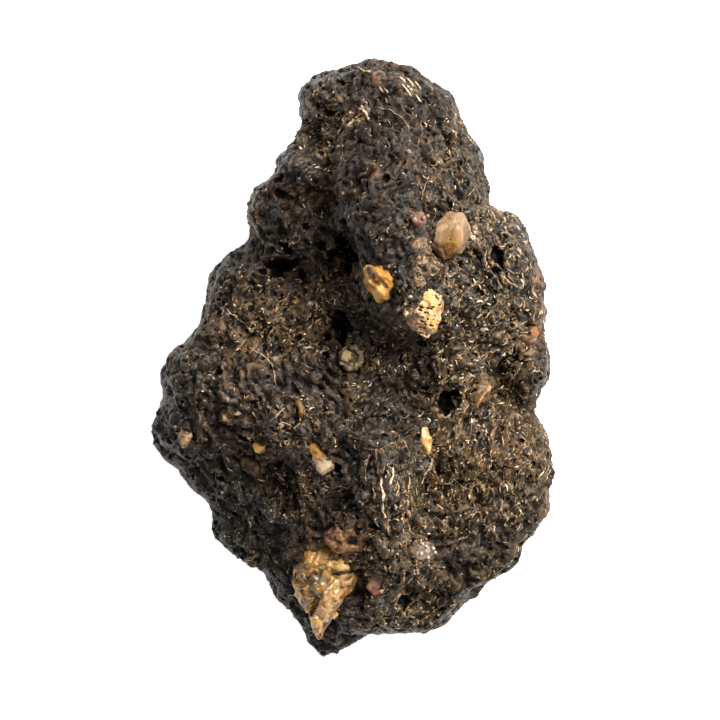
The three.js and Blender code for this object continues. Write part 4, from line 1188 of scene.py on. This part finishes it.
LOOKS = {
    "amber_clast": dict(
        tones=((0.085, 0.042, 0.011), (0.3, 0.148, 0.034), (0.62, 0.37, 0.12)),
        chips=[(1.5, 0.36), (0.7, 0.16)],
        clear=0.2, rough=0.2, gloss=0.5, lines=0.4, cracks=0.65, ragged=0.6, shear=0.05, voxel=0.11,
        pulls=[
            (-3.6, -27.6, 1.6, -0.35, -0.4), (0.3, -24.8, 1.6, -0.5, 0.0),
            (0.2, -21.9, 1.4, 0.7, 0.1),
        ],
        spots=[
            ((-4.0, -19.8, 1.9, 1.3, 20), (0.52, 0.27, 0.07), 0.0),
            ((-2.2, -24.3, 0.9, 4.2, -26), (0.58, 0.33, 0.13), 0.35),
            ((-4.1, -22.1, 1.2, 0.6, 30), (0.06, 0.035, 0.018), -0.3),
            ((-2.9, -22.2, 0.9, 0.5, -20), (0.22, 0.165, 0.1), -0.1),
            ((-3.8, -23.4, 0.5, 0.5, 0), (0.11, 0.075, 0.02), -0.2),
            ((-3.6, -24.8, 0.3, 1.3, -20), (0.09, 0.04, 0.008), -0.4),
            ((-5.3, -25.2, 0.5, 1.7, 24), (0.5, 0.28, 0.015), 0.1),
            ((-5.5, -23.4, 0.45, 0.9, 0), (0.46, 0.28, 0.12), 0.15),
            ((-4.9, -21.0, 0.9, 1.1, 0), (0.34, 0.17, 0.04), 0.0),
            ((-3.7, -26.7, 0.6, 0.9, -20), (0.68, 0.41, 0.12), 0.15),
            ((-3.2, -27.8, 0.4, 0.9, -20), (0.42, 0.2, 0.08), 0.0),
            ((-1.1, -20.7, 1.4, 0.45, -8), (0.74, 0.47, 0.17), 0.35),
            # painted shade: a near-black slot lowered into the grain
            ((-0.9, -21.5, 1.2, 0.2, 8), PIT_SHADE, -0.6),
            # painted highlights: the next two whitish spots stand in for glints
            ((-2.4, -23.1, 0.6, 0.13, 50), (0.7, 0.54, 0.35), 0.25),
            ((-4.8, -21.7, 0.2, 0.4, 20), (0.65, 0.5, 0.32), 0.2),
        ],
    ),
    "smooth_quartz_clast": dict(
        tones=((0.16, 0.088, 0.04), (0.25, 0.143, 0.065), (0.36, 0.225, 0.12)),
        chips=[(2.6, 0.14), (1.3, 0.05)],
        clear=0.12, rough=0.38, gloss=0.35, lines=0.35, ragged=0.12, taper=(12.4, 16.2, 10.0, 0.65),
        pulls=[(10.2, 15.2, 1.2, 0.35, -0.35), (8.1, 10.4, 1.4, 0.6, 0.4)],
        spots=[
            ((8.3, 11.9, 0.6, 1.3, -25), (0.33, 0.21, 0.12), 0.05),
            ((9.0, 13.0, 0.9, 0.3, 25), (0.42, 0.28, 0.16), 0.0),
            ((11.3, 12.2, 0.35, 1.8, -5), (0.17, 0.1, 0.05), 0.0),
            ((10.6, 12.3, 0.55, 0.9, 10), (0.36, 0.21, 0.1), 0.03),
            ((9.9, 11.3, 0.9, 0.8, 0), (0.34, 0.18, 0.04), 0.0),
            ((9.6, 10.7, 1.0, 0.85, 8), (0.13, 0.05, 0.001), -0.06),
            # painted shade in a small lowered pit
            ((9.75, 11.75, 0.12, 0.12, 0), PIT_SHADE, -0.15),
        ],
    ),
    "porous_clast": dict(
        tones=((0.36, 0.17, 0.05), (0.68, 0.39, 0.165), (0.72, 0.49, 0.28)),
        chips=[(1.0, 0.14), (0.4, 0.14)], cracks=0.5,
        voxel=0.08, block=0.1, ragged=0.45,
        pulls=[
            (8.6, 5.6, 1.6, 0.25, 0.2), (9.2, 3.8, 1.4, -0.45, 0.0), (5.8, 5.4, 1.6, -0.7, 0.3),
            (7.0, 2.3, 1.4, 0.4, 0.0),
        ],
        spots=[
            ((5.9, 4.6, 0.75, 1.9, 5), (0.16, 0.1, 0.065), -0.1),
            ((6.3, 5.2, 0.35, 0.6, 20), (0.05, 0.018, 0.01), -0.3),
            ((5.6, 4.3, 0.3, 0.3, 0), (0.5, 0.42, 0.32), 0.1),
            ((6.2, 6.3, 0.5, 0.3, 20), (0.45, 0.34, 0.23), 0.05),
            ((8.6, 5.6, 0.8, 1.0, 0), (0.2, 0.12, 0.055), -0.15),
            ((7.5, 5.9, 0.35, 1.3, 32), (0.66, 0.35, 0.12), 0.25),
            ((7.3, 4.6, 0.6, 0.25, -70), (0.5, 0.25, 0.07), -0.1),
            ((8.2, 3.3, 0.6, 0.9, -20), (0.5, 0.27, 0.07), 0.05),
            ((7.2, 2.6, 0.6, 0.3, -20), (0.3, 0.2, 0.12), -0.1),
        ],
        pores=True,
    ),
    "honey_clast": dict(
        tones=((0.15, 0.06, 0.01), (0.36, 0.165, 0.03), (0.55, 0.3, 0.075)),
        chips=[(1.1, 0.15), (0.5, 0.08)], clear=0.1,
        ragged=0.5,
        pulls=[(4.6, 6.2, 1.4, -0.3, 0.2), (1.4, 6.4, 1.4, 0.3, 0.1), (1.2, 8.9, 1.2, -0.15, 0.2)],
        spots=[
            ((1.9, 8.3, 0.35, 0.55, 30), (0.09, 0.04, 0.012), -0.3),
            ((1.3, 7.9, 0.22, 1.3, 30), (0.3, 0.15, 0.035), 0.1),
            ((2.4, 7.4, 0.5, 0.2, -30), (0.16, 0.07, 0.015), -0.2),
            ((3.2, 7.3, 0.5, 0.2, -50), (0.1, 0.045, 0.01), -0.3),
            ((3.4, 8.5, 0.9, 0.8, 0), (0.42, 0.19, 0.03), 0.25),
            ((2.6, 6.3, 0.8, 0.8, 0), (0.55, 0.31, 0.075), 0.25),
            ((4.3, 6.2, 0.5, 0.7, 0), (0.05, 0.03, 0.015), -0.6),
        ],
    ),
    "white_clast": dict(
        tones=(TAN, (0.325, 0.218, 0.12), (0.475, 0.345, 0.22)), chips=[(0.6, 0.2)],
        spots=[
            ((-3.7, -9.1, 0.5, 1.2, 25), (0.4, 0.184, 0.034), 0.05),
            ((-2.9, -9.4, 0.6, 0.5, 0), (0.35, 0.161, 0.03), 0.0),
            ((-2.5, -10.7, 0.75, 0.8, 0), (0.45, 0.333, 0.22), 0.12),
        ],
        pulls=[(-3.1, -11.3, 1.1, -0.3, -0.5), (-4.4, -8.4, 1.0, -0.1, 0.3)],
    ),
    "cream_clast": dict(
        tones=(HONEY, (0.562, 0.318, 0.105), (0.7, 0.46, 0.21)), chips=[(0.5, 0.12)], rough=0.3,
        spots=[
            ((7.1, -7.5, 0.2, 0.6, 10), (0.8, 0.608, 0.345), 0.08),
            # painted shade in a lowered slot
            ((7.9, -7.3, 0.35, 0.9, 20), PIT_SHADE, -0.6),
        ],
        pulls=[(7.3, -5.9, 1.1, 0.1, -0.6)],
    ),
    "wedge_clast": dict(
        tones=((0.049, 0.024, 0.008), (0.098, 0.05, 0.016), (0.196, 0.113, 0.046)),
        chips=[(1.2, 0.25), (0.5, 0.1)],
        spots=[
            ((13.2, -3.6, 0.1, 1.5, -32), (0.412, 0.252, 0.111), 0.15),
            ((12.1, -3.2, 0.4, 0.9, -30), TAN, 0.0),
        ],
    ),
    "small_amber_clast": dict(
        tones=(HONEY, (0.616, 0.313, 0.076), (0.672, 0.389, 0.114)), chips=[(0.6, 0.2)],
        spots=[((-9.1, -8.4, 0.5, 0.3, 0), (0.179, 0.086, 0.019), -0.1)],
    ),
    "edge_clast": dict(
        tones=(EARTH, (0.177, 0.102, 0.041), (0.354, 0.233, 0.105)), chips=[(0.5, 0.2)],
        spots=[((-16.5, -7.1, 0.5, 0.7, 0), (0.073, 0.039, 0.013), -0.15)],
    ),
    "shoulder_clast": dict(
        tones=(EARTH, (0.17, 0.1, 0.05), SAND), chips=[(0.5, 0.25)],
        spots=[
            ((-12.0, -5.5, 0.4, 0.35, -30), (0.32, 0.16, 0.08), 0.1),
            ((-12.8, -6.6, 0.5, 0.4, 0), DARK_HONEY, -0.1),
        ],
    ),
    "splinter_clast": dict(
        tones=(EARTH, (0.115, 0.053, 0.011), (0.196, 0.097, 0.022)), chips=[(0.6, 0.15)],
        # painted shade in a lowered slot
        spots=[((-5.6, -5.4, 0.3, 0.6, 0), PIT_SHADE, -0.5)],
    ),
    "crown_clast": dict(
        tones=(UMBER_BROWN, (0.091, 0.039, 0.016), (0.182, 0.092, 0.043)), chips=[(0.5, 0.12)], rough=0.4,
        spots=[((3.0, 27.8, 0.25, 0.35, 0), (0.021, 0.012, 0.009), -0.15)],
    ),
    "rim_clast": dict(
        tones=(EARTH, (0.098, 0.05, 0.018), (0.197, 0.112, 0.043)), chips=[(0.7, 0.2)],
        spots=[
            ((17.4, 2.6, 0.5, 0.2, -40), (0.041, 0.016, 0.007), -0.3),
            ((18.1, 2.6, 0.4, 0.5, 0), (0.197, 0.08, 0.022), 0.1),
        ],
    ),
    "milky_clast": dict(
        tones=((0.071, 0.053, 0.038), (0.177, 0.132, 0.092), (0.354, 0.275, 0.2)),
        chips=[(0.6, 0.12)], rough=0.35,
        spots=[], bead=(0.59, 0.473, 0.347),
        beads=[
            (7.0, -18.5, 0.2), (7.4, -18.8, 0.14), (6.9, -19.5, 0.2), (8.1, -19.0, 0.2),
            (8.3, -19.4, 0.17), (7.6, -19.9, 0.16),
        ],
    ),
    "russet_clast": dict(
        # tones raised to make up for the shade this ball lies in: painted light
        tones=((0.304, 0.147, 0.09), (0.532, 0.294, 0.18), (0.798, 0.567, 0.34)), chips=[(0.5, 0.06)],
        rough=0.4,
        spots=[((2.3, -23.5, 0.6, 0.35, 20), (0.38, 0.137, 0.08), 0.0)],
    ),
    "crumbly_clast": dict(
        tones=(UMBER_BROWN, (0.18, 0.086, 0.036), (0.39, 0.208, 0.088)), chips=[(0.7, 0.35), (0.35, 0.2)],
        spots=[
            ((-2.1, -17.6, 0.8, 0.8, 0), (0.165, 0.078, 0.044), 0.1),
            ((1.1, -18.4, 0.5, 0.7, 0), (0.15, 0.044, 0.024), 0.1),
            ((-1.8, -19.2, 1.0, 0.6, 0), (0.26, 0.125, 0.04), 0.1),
            # painted shade in a lowered pit
            ((0.0, -18.2, 0.6, 0.5, 0), PIT_SHADE, -0.3),
        ],
    ),
    "hollow_clast": dict(
        tones=((0.013, 0.006, 0.002), (0.043, 0.02, 0.007), (0.085, 0.042, 0.015)),
        chips=[(0.7, 0.2), (0.35, 0.12)],
        spots=[],
    ),
    "pink_clast": dict(
        tones=((0.068, 0.028, 0.018), (0.114, 0.05, 0.032), (0.194, 0.095, 0.059)),
        chips=[(0.5, 0.1)], spots=[],
        bead=(0.274, 0.17, 0.104),
        beads=[(6.2, 13.7, 0.3), (7.1, 13.9, 0.24), (7.5, 14.1, 0.2), (5.9, 14.1, 0.14)],
    ),
}
print("recipes:", len(LOOKS), "for", len(GRAINS), "grains")

# %% [markdown]
# ## Pores and beads
#
# The porous feldspar has rows of small pits, as in bone, and a few open bubbles with rims. Beads
# are small balls, joined to a grain where it is highest near their place of the plan.

# %% Pores and beads
def porous_pits(points, outwards):
    """Bubbles for the porous feldspar: four open ones and rows of pores."""
    rng = np.random.default_rng(3)
    turn = np.radians(-20)
    pits = [(8.4, 6.0, 0.3), (8.8, 5.3, 0.22), (8.1, 5.0, 0.16), (6.4, 5.3, 0.2)]
    for row, column in product(range(7), range(6)):
        u, v = 0.5 * (column - 2.5), 0.5 * (row - 3)
        x, y = 7.35 + u * np.cos(turn) - v * np.sin(turn), 4.0 + u * np.sin(turn) + v * np.cos(turn)
        if x + y < 12.8 and x > 6.5:
            pits.append((x + rng.normal(0, 0.08), y + rng.normal(0, 0.08), rng.uniform(0.1, 0.19)))
    bubbles = []
    for x, y, radius in pits:
        away = np.hypot(points[:, 0] - x, points[:, 1] - y) - 0.05 * points[:, 2]
        index = np.argmin(away)
        bubbles.append((points[index], unit(outwards[index] + (0, 0, 1.5)), radius, 1.6, STRETCH))
    return bubbles


def add_beads(mesh, beads):
    """Joins small round beads to the top of a mesh in mm, and marks them."""
    points = points_of(mesh)
    shape = bmesh.new()
    shape.from_mesh(mesh)
    layer = shape.verts.layers.float.new("bead")
    for x, y, radius in beads:
        near = points[np.hypot(points[:, 0] - x, points[:, 1] - y) < 0.2]
        top = near[:, 2].max() if len(near) else points[:, 2].max() - 0.3
        made = bmesh.ops.create_icosphere(shape, subdivisions=2, radius=radius)
        for vertex in made["verts"]:
            vertex.co += Vector((x, y, top + 0.2 * radius))
            vertex[layer] = 1
    shape.to_mesh(mesh)
    shape.free()


print("pores and beads are ready for", [name for name in LOOKS if {"pores", "beads"} & set(LOOKS[name])])

# %% [markdown]
# ## A grain's material
#
# The tones follow the chips, with some noise, and the spots lie on top. Thin lines show where a
# noise passes through its middle: pale ones are healed cracks, and dark ones are open. The rims of
# pores are light, and their floors are painted dark as shade.

# %% Paint a grain
QUARTZ_IOR = 1.54
# the dark of pore floors, painted shade
PORE_FLOOR_SHADE = (0.02, 0.012, 0.008)


def paint_grain(name, look):
    clear, rough, gloss = look.get("clear", 0), look.get("rough", 0.45), look.get("gloss", 0.3)
    paint = Paint(name, IOR=QUARTZ_IOR, Roughness=rough, Specular_IOR_Level=gloss)
    paint.set("Transmission Weight", clear)
    step, times, mark_of, noise = paint.step, paint.times, paint.mark, paint.noise

    def thin_lines(size):
        return step(paint.math("ABSOLUTE", paint.plus(noise(size, 1, 0.5, 0.8), -0.5)), 0.02, 0.005)

    dark, middle, light = look["tones"]
    tone = paint.plus(times(mark_of("chip"), 0.75), times(noise(0.7, 3, 0.6), 0.5))
    grainy = step(noise(0.35, 2, 0.6), 0.28, 0.5, (0.55, 1))
    spot_colours = [colour for _, colour, _ in look["spots"]]
    spots = [(colour, mark_of(f"spot_{number}"), grainy) for number, colour in enumerate(spot_colours)]
    colour = paint.layered(
        dark,
        (middle, step(tone, 0.28, 0.45)),
        (light, step(tone, 0.7, 0.95)),
        *spots,
        (light, thin_lines(1.1), look.get("lines", 0)),
        (dark, thin_lines(0.8), look.get("cracks", 0)),
        (light, step(mark_of("rim"), 0.3, 0.7)),
        (look.get("bead", dark), mark_of("bead"), 0.9),
        # painted shade on the floors of pores
        (PORE_FLOOR_SHADE, step(mark_of("pit"), 0.25, 0.8)),
    )
    paint.set("Base Color", colour)
    paint.bump(noise(0.25, 3, 0.6), 0.05)
    return paint.material


print("a grain's material reads its chip, spots, rim, pit and bead from the mesh")

# %% [markdown]
# ## Making the grains
#
# Every grain goes through the same steps: remesh, chips, bends, spots, pores and beads. What each
# step knows about a point is stored as a number on the mesh, for the material to read.

# %% Shape the grains
GRAIN_VOXEL = 0.13  # mm
GRAIN_GROWTH = 0.06  # mm, closes the thin gap round the CAD grain
PORE_WAY = (0.94, -0.34, 0)  # that the pores are drawn out along
PORE_RIM = 0.12  # mm


def bend_plan(points, look):
    """Makes the grain squarer, shears it, tapers it and pulls its corners, in place."""
    middle = points.mean(0)
    aside = (points - middle)[:, :2] / np.abs(points - middle)[:, :2].max(0)
    points[:, :2] += look.get("block", 0) * (points - middle)[:, :2] * (aside[:, ::-1] ** 2)
    points[:, 0] += look.get("shear", 0) * np.minimum(points[:, 1] - points[:, 1].mean(), 0)
    if "taper" in look:
        low, high, centre, width = look["taper"]
        points[:, 0] += (width - 1) * (points[:, 0] - centre) * smooth_step(points[:, 1], low, high)
    for x, y, reach, dx, dy in look.get("pulls", []):
        near = 1 - smooth_step(np.hypot(points[:, 0] - x, points[:, 1] - y), 0.2 * reach, reach)
        points[:, :2] += near[:, None] * (dx, dy)


def hand_over(piece, node, slot):
    """Puts a finished piece in the place of its CAD node."""
    piece.data.shade_smooth()
    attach(piece, "root")
    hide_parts(node)


def finer_grain(node, look):
    piece = copy_in_mm(node, node.replace("_clast", "_grain"))
    add_modifier(piece, "REMESH", mode="VOXEL", voxel_size=look.get("voxel", GRAIN_VOXEL))
    mesh = apply_modifiers(piece)
    points = relax_without_shrinking(points_of(mesh), edges_of(mesh), 2)
    put_points(mesh, points)
    outwards = normals_of(mesh)
    lift = np.full(len(points), GRAIN_GROWTH)
    numbers = []
    for seed, (size, height) in enumerate(look["chips"]):
        tilt, number = chips_at(points, size, seed + 5)
        lift += height * tilt
        numbers.append(number)
    weights = [patch_at(points, patch, look.get("ragged", 0.3)) for patch, _, _ in look["spots"]]
    sink = np.zeros(len(points))
    for weight, (_, _, rise) in zip(weights, look["spots"]):
        sink += weight * rise
    points = points + lift[:, None] * outwards
    bend_plan(points, look)
    points[:, 2] += sink * smooth_step(outwards[:, 2], -0.2, 0.4)
    pit = rim = np.zeros(len(points))
    if look.get("pores"):
        bubbles = porous_pits(points, outwards)
        ways = np.tile(PORE_WAY, (len(points), 1))
        points, pit, rim = press_bubbles(points, outwards, bubbles, PORE_RIM, ways)
    put_points(mesh, points)
    spots = {f"spot_{number}": weight for number, weight in enumerate(weights)}
    for name, values in {"chip": numbers[-1], "pit": pit, "rim": rim, **spots}.items():
        mark(mesh, name, values)
    add_beads(mesh, look.get("beads", []))
    put_points(mesh, points_of(mesh) * MM)
    mesh.materials.append(paint_grain(piece.name, look))
    hand_over(piece, node, SLOTS[node])
    return len(mesh.loops) - 2 * len(mesh.polygons)


SLOTS = {"porous_clast": "porous_feldspar"}
for slot, stems in {
    "amber_quartz": "amber honey small_amber splinter",
    "pale_quartz": "smooth_quartz white cream milky",
    "tan_grain": "wedge edge shoulder rim",
    "russet_grain": "crown russet crumbly hollow pink",
}.items():
    SLOTS.update({stem + "_clast": slot for stem in stems.split()})
total = sum(finer_grain(node, LOOKS[node]) for node in GRAINS)
print("grains:", total, "triangles in all")

# %% [markdown]
# ## The crust in the open bubble
#
# One bubble broke open beside the ridge. Its wall is lined with a thin olive crust, thick on one
# side, and a pale grain lies in it. The CAD bowl is remeshed and made lumpy, one side of it is
# lowered, and the grain is a flat ball joined to it. Then both are chipped.

# %% Line the bubble
CRUST_VOXEL = 0.1  # mm
BALL_RADIUS, BALL_PLACE, BALL_SINK, FLATTEN = 0.55, (-0.6, 0.2), 0.4, 0.7
CRUST_LOOK = dict(
    tones=((0.045, 0.03, 0.013), (0.12, 0.086, 0.04), (0.24, 0.19, 0.11)),
    spots=[],
    bead=(0.36, 0.26, 0.12),
)
lining = copy_in_mm("bubble_lining", "bubble_crust")
add_modifier(lining, "REMESH", mode="VOXEL", voxel_size=CRUST_VOXEL)
lining_mesh = apply_modifiers(lining)
points = relax_without_shrinking(points_of(lining_mesh), edges_of(lining_mesh), 2)
ring_angle = np.arctan2(points[:, 1] - 0.2, points[:, 0] + 0.2)
thick = 0.02 + 0.1 * np.cos(ring_angle + 0.3)
put_points(lining_mesh, points)
lumps = (thick + 0.16 * noise_at(points, 0.4, 81)) * smooth_step(points[:, 2], 0, 1)
points = points + lumps[:, None] * normals_of(lining_mesh)
points[:, 2] -= 0.7 * smooth_step(-np.cos(ring_angle + 0.5), 0.3, 0.8)
put_points(lining_mesh, points)
shape = bmesh.new()
shape.from_mesh(lining_mesh)
pale = shape.verts.layers.float.new("bead")
made = bmesh.ops.create_icosphere(shape, subdivisions=4, radius=BALL_RADIUS)
bowl_top = points[:, 2].max()
for vertex in made["verts"]:
    vertex.co.z *= FLATTEN
    vertex.co += Vector((*BALL_PLACE, bowl_top - BALL_SINK))
    vertex[pale] = 1
shape.to_mesh(lining_mesh)
shape.free()
points = points_of(lining_mesh)
tilt, number = chips_at(points, 0.45, 4)
put_points(lining_mesh, (points + 0.18 * tilt[:, None] * normals_of(lining_mesh)) * MM)
mark(lining_mesh, "chip", number)
lining_mesh.materials.append(paint_grain("bubble_crust", CRUST_LOOK))
hand_over(lining, "bubble_lining", "bubble_lining")
print("crust:", len(lining_mesh.polygons), "faces")

# %% [markdown]
# ## Floor and light
#
# The lump lies on a pale floor with no seam. The floor glows a little, so it stays white under the
# soft shadow. One large soft light stands high on the upper right, as a window would, and a weak
# even light fills the hollows. Its slight warmth brings out the browns in the glass.

# %% Lay the floor and hang the light
FLOOR_REACH = 8  # metres
KEY_PLACE, KEY_WIDTH = (0.45, 0.4, 0.6), 0.6  # metres
KEY_WATTS, KEY_TINT = 19.5, (1, 0.952, 0.905)
EVEN_LIGHT = 0.36
floor_mesh = bpy.data.meshes.new("floor")
corners = [(x * FLOOR_REACH, y * FLOOR_REACH, 0) for x, y in ((-1, -1), (1, -1), (1, 1), (-1, 1))]
floor_mesh.from_pydata(corners, [], [(0, 1, 2, 3)])
floor = object_of("floor", floor_mesh)
pale_floor = Paint("pale_floor", Base_Color=(0.85, 0.85, 0.85), Roughness=0.9, Emission_Strength=0.85)
pale_floor.set("Emission Color", (1, 1, 1))
floor_mesh.materials.append(pale_floor.material)

key_light = bpy.data.lights.new("key", "AREA")
key_light.shape = "DISK"
key_light.size = KEY_WIDTH
key_light.energy = KEY_WATTS
key_light.color = KEY_TINT
key = bpy.data.objects.new("key", key_light)
bpy.context.scene.collection.objects.link(key)
key.location = KEY_PLACE
key.rotation_euler = (Vector((0, 0, 0.01)) - key.location).to_track_quat("-Z", "Y").to_euler()

world = bpy.data.worlds.new("studio")
world.use_nodes = True
background = world.node_tree.nodes["Background"].inputs
background["Color"].default_value = (1, 1, 1, 1)
background["Strength"].default_value = EVEN_LIGHT
bpy.context.scene.world = world
bpy.context.scene.view_settings.view_transform = "Standard"
print("light:", key_light.energy, "watts from", round(key.location.length, 2), "m")

# %% [markdown]
# ## Camera
#
# The camera looks straight down on the lump from two metres, with a long lens. From so far off the
# near parts look no larger than the far ones, so the outline is true to size.

# %% Set the camera
LENS, SENSOR = 1000, 36  # mm
CAMERA_PLACE = (0.0008, -0.0002, 2.012)  # metres
camera_data = bpy.data.cameras.new("camera")
camera_data.sensor_width = SENSOR
camera_data.lens = LENS
camera_data.clip_start = 0.01
camera_data.clip_end = 10
camera = bpy.data.objects.new("camera", camera_data)
bpy.context.scene.collection.objects.link(camera)
camera.location = CAMERA_PLACE
bpy.context.scene.camera = camera
print("camera height:", round(camera.location.z, 3), "m")

# %% [markdown]
# ## Sizes
#
# The dressed lump may stand out a little beyond the CAD solids, by a knob or a thread.
